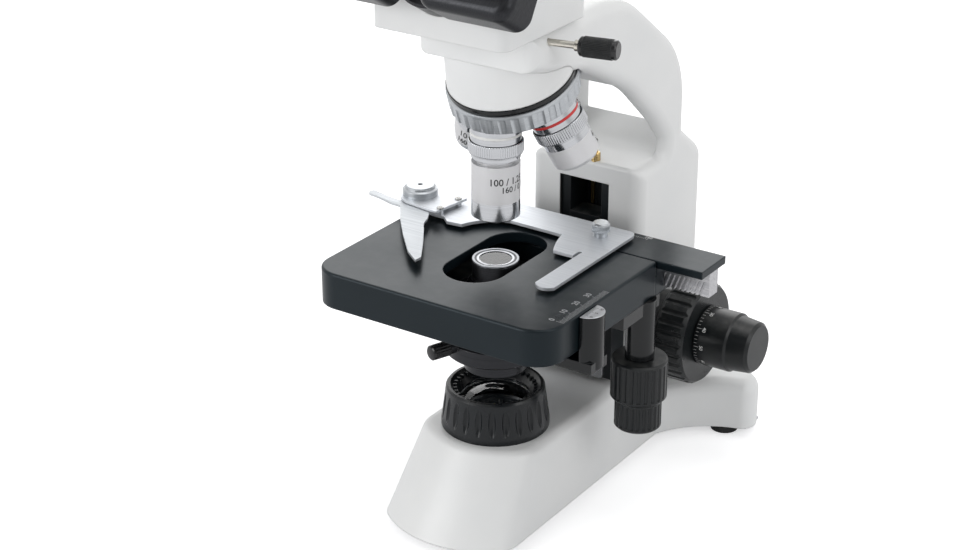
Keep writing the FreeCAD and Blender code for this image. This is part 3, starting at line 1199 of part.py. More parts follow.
BARREL = size("barrel_radius")
SLEEVE_RADIUS = size("sleeve_radius")
BORE = STEM_RADIUS + RUNNING_GAP
PARFOCAL = SHOULDER - size("parfocal_length")
LOW_TIP = SHOULDER - size("length_low")
MEDIUM_TIP = SHOULDER - size("length_medium")
HIGH_TIP = SHOULDER - size("length_high")
hollow = ((SLEEVE_RADIUS, SLEEVE_TIP), (BORE, SLEEVE_TIP), (BORE, SHOULDER - 2.0),
          (0.0, SHOULDER - 2.0))
make_objective("objective_100x", 0.0, *hollow)
make_objective("objective_40x", 180.0, *hollow)
make_objective("objective_4x", -90.0, (SLEEVE_RADIUS, LOW_TIP + 2.0),
               (SLEEVE_RADIUS - 2.0, LOW_TIP), (8.0, LOW_TIP), (7.0, LOW_TIP + 1.5),
               (0.0, LOW_TIP + 1.5))
make_objective("objective_10x", 90.0, (SLEEVE_RADIUS, MEDIUM_TIP + 10.0),
               (SLEEVE_RADIUS - 1.0, MEDIUM_TIP + 4.0), (7.0, MEDIUM_TIP),
               (5.0, MEDIUM_TIP), (4.4, MEDIUM_TIP + 1.0), (0.0, MEDIUM_TIP + 1.0))
make_sprung_barrel("barrel_100x", 0.0, (BARREL, PARFOCAL + 2.2), (9.5, PARFOCAL + 1.0),
                   (5.5, PARFOCAL + 0.6), (4.0, PARFOCAL), (0.0, PARFOCAL))
make_sprung_barrel("barrel_40x", 180.0, (BARREL, HIGH_TIP + 14.4), (BARREL - 1.5, HIGH_TIP + 9.0),
                   (6.0, HIGH_TIP), (0.0, HIGH_TIP))

# ---------------------------------------------------------------------------------------------
# Viewing head: housing, hub of the hinged prism boxes, dovetail and its lock screw
# ---------------------------------------------------------------------------------------------
HEAD_BOTTOM = ARM_TOP + size("head_gap")
HEAD_HALF = size("head_half")
HEAD_FRONT = size("head_front")
HEAD_BACK = size("head_back")
HINGE_Y = -size("hinge_y")
HINGE_Z = HEAD_BOTTOM + size("hinge_rise")
INCLINE = size("tube_incline")
HUB = size("hub_radius")
OPTIC_TURN = 90.0 - INCLINE


def on_slope(forward, upward):
    """Head coordinates: distance out along the tubes and up the sloping face."""
    return (HINGE_Y - forward * cosine(INCLINE) + upward * sine(INCLINE),
            HINGE_Z + forward * sine(INCLINE) + upward * cosine(INCLINE))


def make_head():
    """Prism housing with an upright lower front and a sloping upper face."""
    body = new_body("head_housing")
    profile = new_sketch(body, "YZ_Plane")
    crown_y, crown_z = on_slope(0.0, 33.0)
    corner_z = on_slope(0.0, as_size(0.3))[1]
    add_outline(profile, (
        (-HEAD_FRONT, HEAD_BOTTOM), (HEAD_BACK, HEAD_BOTTOM), (HEAD_BACK, HINGE_Z - 8.0),
        (crown_y + 14.0, crown_z, HEAD_BACK - 7.0, HINGE_Z + 17.0),
        (crown_y, crown_z), (-HEAD_FRONT, corner_z)))
    pad(body, profile, HEAD_HALF * 2.0, both_ways=True)
    side = HEAD_HALF.value
    round_edges(body, size("head_corner"),
                lambda edge: (abs(abs(edge.BoundBox.Center.x) - side) < 1e-3
                              and edge.BoundBox.XLength < 1e-3
                              and edge.BoundBox.ZMax > HEAD_BOTTOM.value + 1.0))
    start_y, start_z = on_slope(as_size(-26.0), as_size(0.0))
    drill(body, HUB, 40.0, FreeCAD.Rotation(AXIS_X, OPTIC_TURN.value),
          (as_size(0.0), start_y, start_z))
    return body


head = make_head()

hub = turned("head_hub", (
    (0.0, -26.0), (HUB, -26.0), (HUB, 1.0), (HUB - 1.0, 2.0), (size("hinge_pin_radius"), 2.0),
    (size("hinge_pin_radius"), 2.0 + 3.0 * CLEARANCE + size("link_thickness") * 2.0),
    (size("link_radius"), 2.0 + 3.0 * CLEARANCE + size("link_thickness") * 2.0),
    (size("link_radius") - 1.0, 5.0 + 3.0 * CLEARANCE + size("link_thickness") * 2.0),
    (0.0, 5.0 + 3.0 * CLEARANCE + size("link_thickness") * 2.0)))
place(hub, 0.0, HINGE_Y, HINGE_Z, AXIS_X, OPTIC_TURN)

SEAT = size("seat_radius")
turned("head_dovetail", (
    (15.0, HEAD_BOTTOM), (SEAT - CLEARANCE, HEAD_BOTTOM), (SEAT - CLEARANCE, HEAD_BOTTOM - 2.3),
    (SEAT - 2.6, HEAD_BOTTOM - 4.1), (SEAT - 1.0, ARM_TOP - size("seat_depth") + CLEARANCE),
    (15.0, ARM_TOP - size("seat_depth") + CLEARANCE)))

LOCK = size("lock_shaft_radius")
LOCK_OUT = size("lock_exposed")
LOCK_CAP = size("lock_cap_radius")
LOCK_END = LOCK_OUT + 2.0 + size("lock_cap_length")
lock_screw = turned("lock_screw", (
    (0.0, -size("lock_inside")), (LOCK, -size("lock_inside")), (LOCK, LOCK_OUT),
    (LOCK + 0.9, LOCK_OUT), (LOCK + 0.9, LOCK_OUT + 2.0), (LOCK_CAP - 0.7, LOCK_OUT + 2.0),
    (LOCK_CAP, LOCK_OUT + 2.7), (LOCK_CAP, LOCK_END - 0.7), (LOCK_CAP - 0.7, LOCK_END),
    (0.0, LOCK_END)))
lock_turn = FreeCAD.Rotation(AXIS_Z, size("lock_angle").value) * FreeCAD.Rotation(AXIS_Y, 90)
lock_screw.Placement = FreeCAD.Placement(Vector(), lock_turn)
place(lock_screw, size("lock_x"), -size("lock_y"), LOCK_Z)

# ---------------------------------------------------------------------------------------------
# Prism boxes with their tubes, dioptre ring and eyepieces
# ---------------------------------------------------------------------------------------------
OFFSET = size("tube_offset")
PRISM = size("prism_half")
LINK = size("link_radius")
LINK_THICK = size("link_thickness")
PRISM_BACK = 2.0 + CLEARANCE
PRISM_FRONT = PRISM_BACK + size("prism_depth")
TUBE_END = PRISM_FRONT + size("tube_length")
EYE_BARREL = size("eyepiece_barrel")
EYE_DEPTH = size("eyepiece_depth")


def make_eyetube(name, side, link_bottom, tube_end):
    """Prism box on a link round the hinge pin, with the tube for an eyepiece."""
    body = new_body(name)
    box = new_sketch(body, "XY_Plane", PRISM_BACK)
    middle = OFFSET * side
    add_outline(box, rounded(middle - PRISM, -PRISM, middle + PRISM, PRISM,
                             size("prism_corner")))
    pad(body, box, size("prism_depth"))
    front = PRISM_FRONT.value
    round_edges(body, size("head_corner"), lambda edge: edge.BoundBox.ZMin > front - 1e-3)
    link = new_sketch(body, "XY_Plane", link_bottom)
    add_outline(link, ((0.0, -LINK), (OFFSET * side, -PRISM + 6.0), (OFFSET * side, PRISM - 6.0),
                       (0.0, LINK)))
    pad(body, link, LINK_THICK)
    eye = new_sketch(body, "XY_Plane", link_bottom)
    add_circle(eye, 0.0, 0.0, LINK)
    pad(body, eye, LINK_THICK)
    pin = new_sketch(body, "XY_Plane", link_bottom + LINK_THICK)
    add_circle(pin, 0.0, 0.0, size("hinge_pin_radius") + RUNNING_GAP)
    pocket(body, pin, LINK_THICK)
    tube = new_sketch(body, "XY_Plane", PRISM_FRONT)
    add_circle(tube, OFFSET * side, 0.0, size("tube_radius"))
    pad(body, tube, tube_end - PRISM_FRONT)
    bore = new_sketch(body, "XY_Plane", tube_end)
    add_circle(bore, OFFSET * side, 0.0, EYE_BARREL)
    pocket(body, bore, tube_end - TUBE_END + EYE_DEPTH)
    place(body, 0.0, HINGE_Y, HINGE_Z, AXIS_X, OPTIC_TURN)
    return body


def make_eyepiece(name, side, seat):
    """Wide eyepiece: barrel in the tube, body, rubber cup and eye lens recess."""
    radius = size("eyepiece_radius")
    cup = size("cup_radius")
    top = seat + size("eyepiece_length")
    rim = top + size("cup_height")
    body = turned(name, (
        (0.0, TUBE_END - EYE_DEPTH), (EYE_BARREL, TUBE_END - EYE_DEPTH), (EYE_BARREL, seat),
        (radius, seat), (radius, top), (cup, top), (cup - 0.8, rim), (cup - 3.5, rim),
        (cup - 5.5, top + 1.0), (0.0, top + 1.0)))
    place(body, OFFSET * side, HINGE_Y, HINGE_Z, AXIS_X, OPTIC_TURN)
    return body


DIOPTER_START = TUBE_END - size("diopter_width") - CLEARANCE
make_eyetube("right_eyetube", 1.0, PRISM_BACK, TUBE_END)
make_eyetube("left_eyetube", -1.0, PRISM_BACK + LINK_THICK + CLEARANCE, DIOPTER_START)
make_eyepiece("right_eyepiece", 1.0, TUBE_END)
make_eyepiece("left_eyepiece", -1.0, TUBE_END + CLEARANCE)
diopter = turned("diopter_ring", tube_profile(
    EYE_BARREL + RUNNING_GAP, size("diopter_radius"), DIOPTER_START + CLEARANCE, TUBE_END))
rib = new_sketch(diopter, "XY_Plane", TUBE_END)
add_circle(rib, size("diopter_radius") + 0.5, 0.0, 1.1)
repeat_around(diopter, [pocket(diopter, rib, size("diopter_width") + 1.0)], 24)
place(diopter, -OFFSET, HINGE_Y, HINGE_Z, AXIS_X, OPTIC_TURN)

# ---------------------------------------------------------------------------------------------
# Brightness dial on the left of the base, switch and inlet at the back
# ---------------------------------------------------------------------------------------------
DIAL = size("dial_radius")
dial = turned("brightness_dial", (
    (0.0, BASE_HALF - 11.0), (DIAL_SHAFT, BASE_HALF - 11.0), (DIAL_SHAFT, BASE_HALF - 0.2),
    (DIAL, BASE_HALF - 0.2), (DIAL, BASE_HALF + size("dial_width") - 1.2),
    (DIAL - 1.0, BASE_HALF + size("dial_width") - 0.2),
    (0.0, BASE_HALF + size("dial_width") - 0.2)))
place(dial, 0.0, size("dial_y"), size("dial_height"), AXIS_Y, -90.0)

PANEL_Z = size("panel_height")
rocker = new_body("power_switch")
sketch = new_sketch(rocker, "YZ_Plane")
high = size("switch_half_height") - CLEARANCE
add_outline(sketch, ((PANEL_Y - 5.0, PANEL_Z - high + 0.8), (PANEL_Y + 0.5, PANEL_Z - high),
                     (PANEL_Y + 0.5, PANEL_Z + high, PANEL_Y - 0.8, PANEL_Z),
                     (PANEL_Y - 5.0, PANEL_Z + high - 0.8)))
pad(rocker, sketch, (size("switch_half_width") - CLEARANCE) * 2.0, both_ways=True)
sketch = new_sketch(rocker, "YZ_Plane")
add_circle(sketch, PANEL_Y - 1.5, PANEL_Z, 1.2)
pad(rocker, sketch, (size("switch_half_width") - RUNNING_GAP) * 2.0, both_ways=True)
place(rocker, size("switch_x"), 0.0, 0.0)

inlet = new_body("power_inlet")
sketch = new_sketch(inlet, "XZ_Plane", -PANEL_Y - 1.2)
half = size("inlet_half")
INLET_X = size("inlet_x")
add_outline(sketch, rectangle(INLET_X - half, PANEL_Z - half, INLET_X + half, PANEL_Z + half))
pad(inlet, sketch, size("inlet_depth") + 3.0)
sketch = new_sketch(inlet, "XZ_Plane", -PANEL_Y - 1.2)
add_circle(sketch, INLET_X, PANEL_Z, size("inlet_radius"))
pocket(inlet, sketch, size("inlet_depth"), reverse=True)

# ---------------------------------------------------------------------------------------------
# Check the model, then write one file per sub-part
# ---------------------------------------------------------------------------------------------
document.recompute()
for item in document.Objects:
    if "Invalid" in item.State or "Error" in item.State:
        raise RuntimeError(f"{item.Label} ({item.Name}): {item.State}")
for piece in PIECES:
    if piece.Shape.isNull() or not piece.Shape.isValid():
        raise RuntimeError(f"{piece.Label}: the shape is empty or not valid")
os.makedirs("parts", exist_ok=True)
for piece in PIECES:
    piece.Shape.exportStep(f"parts/{piece.Label}.step")
    box = piece.Shape.BoundBox
    print(f"{piece.Label:22s} {len(piece.Shape.Solids)} solid  "
          f"x {box.XMin:7.1f} {box.XMax:7.1f}  y {box.YMin:7.1f} {box.YMax:7.1f}  "
          f"z {box.ZMin:7.1f} {box.ZMax:7.1f}  faces {len(piece.Shape.Faces)}")
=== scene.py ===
# %% [markdown]
# A binocular laboratory microscope with a mechanical stage.
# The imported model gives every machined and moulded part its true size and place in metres.
# This lesson dresses those parts: paint, satin metal, moulded plastic and glass are made from
# nodes, and the small things that a drawing leaves out, such as knurls, figures and screws, are
# built as meshes.  Working round a fixed frame keeps every piece where the real one sits.

# %% Load the frame
import json
import math

import bmesh
import bpy
from mathutils import Matrix, Vector


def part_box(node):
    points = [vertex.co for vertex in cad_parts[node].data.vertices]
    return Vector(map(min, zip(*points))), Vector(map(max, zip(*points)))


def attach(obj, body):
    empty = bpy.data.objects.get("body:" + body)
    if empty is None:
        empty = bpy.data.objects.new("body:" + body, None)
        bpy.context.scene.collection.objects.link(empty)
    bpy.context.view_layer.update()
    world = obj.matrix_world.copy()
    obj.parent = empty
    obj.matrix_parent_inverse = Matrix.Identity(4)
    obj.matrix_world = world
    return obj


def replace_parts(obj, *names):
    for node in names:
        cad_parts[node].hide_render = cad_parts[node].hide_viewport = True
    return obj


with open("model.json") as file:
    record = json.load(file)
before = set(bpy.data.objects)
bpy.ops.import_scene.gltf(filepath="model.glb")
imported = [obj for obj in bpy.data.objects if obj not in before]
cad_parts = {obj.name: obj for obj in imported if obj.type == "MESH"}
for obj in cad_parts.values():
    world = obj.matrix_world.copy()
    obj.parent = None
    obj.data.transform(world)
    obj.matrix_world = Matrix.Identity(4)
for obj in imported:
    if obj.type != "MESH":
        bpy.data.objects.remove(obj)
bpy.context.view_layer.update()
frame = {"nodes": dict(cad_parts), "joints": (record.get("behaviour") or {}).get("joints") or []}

scene = bpy.context.scene
scene.view_settings.view_transform = "Standard"
nodes = frame["nodes"]
hinges = {joint["name"]: joint for joint in frame["joints"]}
MM = 0.001
UP = Vector((0, 0, 1))
print("nodes:", len(nodes), "joints:", len(hinges))

# %% [markdown]
# The camera looks down on the stage from the front right, a little above the table, with a long
# lens.  A short lens close by would frame the same parts but bend their proportions.

# %% Camera
CAMERA_AZIMUTH = math.radians(33.9)
CAMERA_ELEVATION = math.radians(24.5)
CAMERA_PLACE = (0.4837, -0.7254, 0.5181)
CAMERA_LENS = 75.83

toward_camera = Vector((math.sin(CAMERA_AZIMUTH) * math.cos(CAMERA_ELEVATION),
                        -math.cos(CAMERA_AZIMUTH) * math.cos(CAMERA_ELEVATION),
                        math.sin(CAMERA_ELEVATION)))
camera = bpy.data.objects.new("camera", bpy.data.cameras.new("camera"))
scene.collection.objects.link(camera)
camera.location = CAMERA_PLACE
camera.rotation_mode = "QUATERNION"
camera.rotation_quaternion = (-toward_camera).to_track_quat("-Z", "Y")
camera.data.lens = CAMERA_LENS
scene.camera = camera
print("camera at", CAMERA_PLACE, "lens", CAMERA_LENS)

# %% [markdown]
# A shader tree is easier to read when one line adds a node, sets it and feeds it.
# The first helper feeds a socket with a number, a colour or another node's output.  The second
# adds a node.  The rest name the few steps that come back in every tree.

# %% Helpers for node trees
def feed(tree, value, socket):
    """Gives a socket a value, or links another node's output to it."""
    if isinstance(value, bpy.types.NodeSocket):
        tree.links.new(value, socket)
    else:
        socket.default_value = value


def add(tree, kind, sockets=None, **settings):
    """Adds a shader node, with its options and inputs, and returns it."""
    node = tree.nodes.new("ShaderNode" + kind)
    for option, value in settings.items():
        setattr(node, option, value)
    for key, value in (sockets or {}).items():
        feed(tree, value, node.inputs[key])
    return node


def maths(tree, operation, *values):
    """One step of arithmetic on numbers."""
    return add(tree, "Math", dict(enumerate(values)), operation=operation).outputs[0]


def vectors(tree, operation, *values, out="Vector"):
    """One step of arithmetic on vectors."""
    return add(tree, "VectorMath", dict(enumerate(values)), operation=operation).outputs[out]


def blend(tree, mask, first, second):
    """The first number where the mask is 0, and the second where it is 1."""
    return add(tree, "Mix", {0: mask, 2: first, 3: second}).outputs[0]


def blend_colours(tree, mask, first, second):
    """The first colour where the mask is 0, and the second where it is 1."""
    node = add(tree, "Mix", {"Factor": mask}, data_type="RGBA")
    for key, value in (("A_Color", first), ("B_Color", second)):
        socket = next(item for item in node.inputs if item.identifier == key)
        feed(tree, value if isinstance(value, bpy.types.NodeSocket) else (*value, 1.0), socket)
    return next(item for item in node.outputs if item.identifier == "Result_Color")


def spread(tree, value, bottom, top, low=0.0, high=1.0):
    """Stretches the span low-high of a value to bottom-top, and stops at its ends."""
    return add(tree, "MapRange", {"Value": value, "From Min": low, "From Max": high,
                                  "To Min": bottom, "To Max": top}).outputs["Result"]


def here(tree):
    """The point being shaded, in metres."""
    return add(tree, "TexCoord").outputs["Object"]


def noise(tree, point, scale, detail):
    """Soft noise, read at a point."""
    return add(tree, "TexNoise", {"Vector": point, "Scale": scale,
                                  "Detail": detail}).outputs["Fac"]


def mirrored(tree, rays):
    """1 for rays that come by way of a mirror or a lens."""
    return maths(tree, "MAXIMUM", rays["Is Glossy Ray"], rays["Is Transmission Ray"])


print("node helpers ready")

# %% [markdown]
# A finish is a material with one Principled shader.  Values that are the same all over sit on
# the shader's own sockets, and only what changes over the surface comes through nodes.

# %% Helpers for finishes
def start_finish(name, **plain):
    """A material and its tree, with its unchanging values set."""
    material = bpy.data.materials.new(name)
    material.use_nodes = True
    tree = material.node_tree
    for label, value in plain.items():
        tree.nodes["Principled BSDF"].inputs[label.replace("_", " ")].default_value = value
    return material, tree


def coat(tree, tone, gloss, relief=None, metal=None):
    """Feeds the shader; relief is (height, distance, strength, softened normal)."""
    sockets = tree.nodes["Principled BSDF"].inputs
    feed(tree, tone, sockets["Base Color"])
    feed(tree, gloss, sockets["Roughness"])
    if metal is not None:
        feed(tree, metal, sockets["Metallic"])
    if relief:
        bump = add(tree, "Bump", dict(zip(("Height", "Distance", "Strength", "Normal"), relief)))
        feed(tree, bump.outputs["Normal"], sockets["Normal"])


print("finish helpers ready")

# %% [markdown]
# The room is a plain pale studio.  The floor is one wide disc that catches the soft shadow.
# Its own colour does most of the work, and a glow that only the camera and mirrors see lifts it
# to white, so no extra light falls on the object.

# %% Floor
FLOOR_RADIUS = 5.0
FLOOR_COLOUR = (0.86, 0.86, 0.87)
FLOOR_GLOW = 0.5
MIRRORED_GLOW = 0.25
PURE_WHITE = (1.0, 1.0, 1.0, 1.0)

floor_sheet = bmesh.new()
bmesh.ops.create_circle(floor_sheet, cap_ends=True, segments=96, radius=FLOOR_RADIUS)
floor_mesh = bpy.data.meshes.new("floor")
floor_sheet.to_mesh(floor_mesh)
floor = bpy.data.objects.new("floor", floor_mesh)
scene.collection.objects.link(floor)
floor_material, tree = start_finish(
    "studio_floor", Roughness=0.9, Specular_IOR_Level=0.1, Base_Color=(*FLOOR_COLOUR, 1.0),
    Emission_Color=PURE_WHITE)
rays = add(tree, "LightPath").outputs
seen = maths(tree, "MAXIMUM", rays["Is Camera Ray"],
             maths(tree, "MULTIPLY", mirrored(tree, rays), MIRRORED_GLOW))
feed(tree, maths(tree, "MULTIPLY", seen, FLOOR_GLOW),
     tree.nodes["Principled BSDF"].inputs["Emission Strength"])
floor_mesh.materials.append(floor_material)
print("floor radius", FLOOR_RADIUS, "m")

# %% [markdown]
# The light comes from a pale room and four large soft panels.  The world lights the paint at
# a plain level.  What mirrors and lenses see of it is white, and a little darker towards the
# front right, so that polished metal shows a light and a dark side.

# %% World and panels
ROOM_LIGHT = 0.62
ROOM_SHADE = 0.30
SHADE_SIDE = (0.56, -0.80, -0.2)
# Each panel is a square softbox: place, height that it faces, size in metres and watts.
PANELS = {"key": ((-0.75, -1.4, 0.62), 0.15, 0.8, 9.0),
          "fill": ((1.3, -0.1, 0.9), 0.15, 0.8, 4.0),
          "back_light": ((-0.9, 1.35, 0.85), 0.12, 1.2, 6.0),
          "crown": ((0.1, 0.2, 1.9), 0.15, 1.0, 5.0)}

world = bpy.data.worlds.new("studio")
scene.world = world
world.use_nodes = True
tree = world.node_tree
background = tree.nodes["Background"].inputs
direction = add(tree, "TexCoord").outputs["Generated"]
facing = vectors(tree, "DOT_PRODUCT", direction, SHADE_SIDE, out="Value")
mirror_level = spread(tree, facing, 1.0, ROOM_SHADE, 0.15, 0.95)
rays = add(tree, "LightPath").outputs
seen_level = blend(tree, mirrored(tree, rays), ROOM_LIGHT, mirror_level)
feed(tree, blend(tree, rays["Is Camera Ray"], seen_level, 1.0), background["Strength"])
feed(tree, PURE_WHITE, background["Color"])

for name, (place, target, size, watts) in PANELS.items():
    light = bpy.data.lights.new(name, "AREA")
    light.size = size
    light.energy = watts
    lamp = bpy.data.objects.new(name, light)
    scene.collection.objects.link(lamp)
    lamp.location = place
    lamp.rotation_mode = "QUATERNION"
    lamp.rotation_quaternion = (Vector(place) - UP * target).to_track_quat("Z", "Y")
print("room light", ROOM_LIGHT, "and", len(PANELS), "panels")

# %% [markdown]
# Several finishes need the same effects, so each effect is a node group with named sockets.
# The first group gives the place of a point on a turned part: how far along the axis it is, and
# how far out from it.  Bands of a barrel and the fine marks of a lathe both come from that.

# %% Group: lathe coordinates
def new_group(name, **inputs):
    """Starts a node group with its inputs, which are vectors or numbers."""
    tree = bpy.data.node_groups.new(name, "ShaderNodeTree")
    for label, value in inputs.items():
        kind = "Vector" if isinstance(value, tuple) else "Float"
        tree.interface.new_socket(label, in_out="INPUT",
                                  socket_type="NodeSocket" + kind).default_value = value
    return tree, tree.nodes.new("NodeGroupInput").outputs


def close_group(tree, **results):
    """Gives a group its outputs."""
    for label, value in results.items():
        kind = "Vector" if value.type == "VECTOR" else "Float"
        tree.interface.new_socket(label, in_out="OUTPUT", socket_type="NodeSocket" + kind)
    outlet = tree.nodes.new("NodeGroupOutput")
    for label, value in results.items():
        feed(tree, value, outlet.inputs[label])
    print("group", tree.name)
    return tree


def use(tree, group, **values):
    """Places a group in a tree, with its own values, and returns its outputs."""
    return add(tree, "Group", values, node_tree=group).outputs


tree, given = new_group("lathe_place", Centre=(0, 0, 0), Axis=(0, 0, 1))
offset = vectors(tree, "SUBTRACT", here(tree), given["Centre"])
along = vectors(tree, "DOT_PRODUCT", offset, given["Axis"], out="Value")
on_axis = add(tree, "VectorMath", {0: given["Axis"], "Scale": along}, operation="SCALE")
outward = vectors(tree, "SUBTRACT", offset, on_axis.outputs[0])
lathe_place = close_group(tree, Along=along,
                          Radius=vectors(tree, "LENGTH", outward, out="Value"))

# %% [markdown]
# Turning leaves hair-fine rings round a part.  They could be waves of even pitch, but real
# marks vary, so noise is read along the axis and outwards only, which draws it out into rings.

# %% Group: lathe marks
tree, given = new_group("lathe_marks", Centre=(0, 0, 0), Axis=(0, 0, 1), Pitch=0.0002)
spot = use(tree, lathe_place, Centre=given["Centre"], Axis=given["Axis"])
ringed = add(tree, "CombineXYZ", {"X": maths(tree, "DIVIDE", spot["Along"], given["Pitch"]),
                                  "Y": maths(tree, "DIVIDE", spot["Radius"], given["Pitch"])})
rings = noise(tree, ringed.outputs[0], 0.5, 3.0)
lathe_marks = close_group(tree, Height=rings, Streak=spread(tree, rings, 0.0, 1.0, 0.3, 0.7))

# %% [markdown]
# Sheet metal is brushed or grained in one direction.  Stretching noise by a different amount
# on each axis gives streaks that follow the sheet.

# %% Group: brushed streaks
tree, given = new_group("brushed_streaks", Stretch=(20, 1500, 1500))
fibres = noise(tree, vectors(tree, "MULTIPLY", here(tree), given["Stretch"]), 1.0, 4.0)
brushed_streaks = close_group(tree, Height=fibres,
                              Streak=spread(tree, fibres, 0.0, 1.0, 0.32, 0.68))

# %% [markdown]
# Every real edge is a little round, and it is where a finish thins first; on the white enamel
# it also takes a painted highlight.  The Bevel node reads a softened normal near an edge.
# Comparing it with the plain normal gives a mask of the edge, and noise breaks that mask up.

# %% Group: soft edges
tree, given = new_group("soft_edges", Radius=0.0004, Patches=120.0)
rounded = add(tree, "Bevel", {"Radius": given["Radius"]}, samples=5).outputs["Normal"]
agreement = vectors(tree, "DOT_PRODUCT", rounded, add(tree, "NewGeometry").outputs["Normal"],
                    out="Value")
patches = spread(tree, noise(tree, here(tree), given["Patches"], 2.0), 0.25, 1.0, 0.3, 0.7)
edge = spread(tree, agreement, 0.0, 1.0, 0.995, 0.85)
soft_edges = close_group(tree, Normal=rounded, Mask=maths(tree, "MULTIPLY", edge, patches))

# %% [markdown]
# Sprayed enamel dries with a faint orange peel and is never quite one shade.  One slow noise
# gives the drift in shade, and one quick noise gives the peel.

# %% Group: sprayed skin
tree, given = new_group("sprayed_skin", Peel=620.0, Drift=22.0)
drift = noise(tree, here(tree), given["Drift"], 3.0)
sprayed_skin = close_group(tree, Height=noise(tree, here(tree), given["Peel"], 1.0),
                           Drift=spread(tree, drift, 0.0, 1.0, 0.3, 0.7))

# %% [markdown]
# Moulded plastic and sand-cast metal have a fine even grain.  Cells of a Voronoi pattern are
# closer to it than soft noise, because each grain is a small separate bump.

# %% Group: fine grain
tree, given = new_group("fine_grain", Size=0.0003)
cells = add(tree, "TexVoronoi", {"Vector": here(tree),
                                 "Scale": maths(tree, "DIVIDE", 1.0, given["Size"])},
            feature="SMOOTH_F1").outputs["Distance"]
cloud = noise(tree, here(tree), 45.0, 3.0)
fine_grain = close_group(tree, Height=cells, Mask=spread(tree, cloud, 0.0, 1.0, 0.3, 0.7))

# %% [markdown]
# A little dust lies on whatever faces up.  The z part of the normal finds those faces.

# %% Group: settled dust
tree, given = new_group("settled_dust", Amount=0.1)
facing_up = add(tree, "SeparateXYZ", {
    "Vector": add(tree, "NewGeometry").outputs["Normal"]}).outputs["Z"]
specks = spread(tree, noise(tree, here(tree), 160.0, 5.0), 0.0, 1.0, 0.4, 0.75)
lying = maths(tree, "MULTIPLY", spread(tree, facing_up, 0.0, 1.0, 0.3, 1.0), specks)
settled_dust = close_group(tree, Mask=maths(tree, "MULTIPLY", lying, given["Amount"]))

# %% [markdown]
# Two masks pick out a part of a node: a box between two corners, and a span of heights along
# an axis.  They let one casting be white outside and black in its slot.

# %% Groups: masks by place
tree, given = new_group("box_mask", Low=(0, 0, 0), High=(1, 1, 1))
outside = vectors(tree, "MAXIMUM", vectors(tree, "SUBTRACT", given["Low"], here(tree)),
                  vectors(tree, "SUBTRACT", here(tree), given["High"]))
sides = add(tree, "SeparateXYZ", {"Vector": outside}).outputs
furthest = maths(tree, "MAXIMUM", maths(tree, "MAXIMUM", sides["X"], sides["Y"]), sides["Z"])
box_mask = close_group(tree, Mask=maths(tree, "LESS_THAN", furthest, 0.0))

tree, given = new_group("span_mask", Centre=(0, 0, 0), Axis=(0, 0, 1), Start=0.0, End=1.0)
spot = use(tree, lathe_place, Centre=given["Centre"], Axis=given["Axis"])
span_mask = close_group(tree, Mask=maths(
    tree, "MULTIPLY", maths(tree, "GREATER_THAN", spot["Along"], given["Start"]),
    maths(tree, "LESS_THAN", spot["Along"], given["End"])))

# %% [markdown]
# White enamel covers the castings.  The real coat is a smooth semi-gloss over cast aluminium.
# Here its white drifts at random towards a slightly cooler tone.  A second colour can be given
# for one region of the casting, as the black lining of the arm's slot.

# %% Finish: enamel
def lighter(colour, factor, lift=0.0):
    """A colour made lighter or darker."""
    return tuple(min(1.0, part * factor + lift) for part in colour)


def rub(tree, tone, edges, share, bare):
    """Lets a second colour show on a share of the edges: wear, and on white enamel a painted
    highlight.
    """
    return blend_colours(tree, maths(tree, "MULTIPLY", edges["Mask"], share), tone, bare)


def sprinkle(tree, tone, amount, colour):
    """Lays dust on a colour."""
    return blend_colours(tree, use(tree, settled_dust, Amount=amount)["Mask"], tone, colour)


def enamel(name, colour, shade, roughness, peel=0.35, lining=None, dust=0.05, **plain):
    """Sprayed paint; lining is (mask maker, colour) for a region painted otherwise."""
    material, tree = start_finish(name, IOR=1.5, **plain)
    skin = use(tree, sprayed_skin)
    edges = use(tree, soft_edges, Radius=0.0009)
    tone = blend_colours(tree, skin["Drift"], colour, shade)
    # Lighter edges: wear on the dark colours, and a painted edge highlight on the white enamel.
    tone = rub(tree, tone, edges, 0.25, lighter(colour, 1.25, 0.03))
    tone = sprinkle(tree, tone, dust, (0.62, 0.60, 0.56))
    gloss = spread(tree, skin["Drift"], roughness - 0.03, roughness + 0.05)
    if lining:
        make_mask, lining_colour = lining
        mask = make_mask(tree)
        tone = blend_colours(tree, mask, tone, lining_colour)
        gloss = blend(tree, mask, gloss, 0.5)
    coat(tree, tone, gloss, (skin["Height"], 0.00003, peel, edges["Normal"]))
    return material


print("enamel ready")

# %% [markdown]
# Bright parts are turned or rolled metal.  Turned ones carry lathe marks about their own axis,
# flat ones carry streaks.  Both use one function, and only the source of the marks differs.

# %% Finish: bright metal
def bright_metal(name, colour, shade, roughness, axle=None, stretch=(25, 1400, 1400),
                 pitch=0.00025):
    """Metal with marks round an axle (centre, axis), or streaks drawn out by stretch."""
    material, tree = start_finish(name, Metallic=1.0)
    if axle:
        marks = use(tree, lathe_marks, Centre=axle[0], Axis=axle[1], Pitch=pitch)
    else:
        marks = use(tree, brushed_streaks, Stretch=stretch)
    edges = use(tree, soft_edges, Radius=0.0003)
    smears = spread(tree, use(tree, fine_grain, Size=0.004)["Mask"], 0.0, 0.05)
    tone = blend_colours(tree, marks["Streak"], colour, shade)
    gloss = maths(tree, "ADD",
                  spread(tree, marks["Streak"], roughness * 0.85, roughness * 1.15), smears)
    coat(tree, rub(tree, tone, edges, 0.5, lighter(colour, 1.2)), gloss,
         (marks["Height"], 0.00001, 0.4, edges["Normal"]))
    return material


print("bright metal ready")

# %% [markdown]
# The condenser, the iris ring and the eyepiece tubes are black anodised.  The dyed layer is
# thin, so it could be a dark paint, but it keeps the sheen of the metal under it.  The finish is
# therefore mostly metallic, with lathe marks, and shows bare metal where an edge is worn.

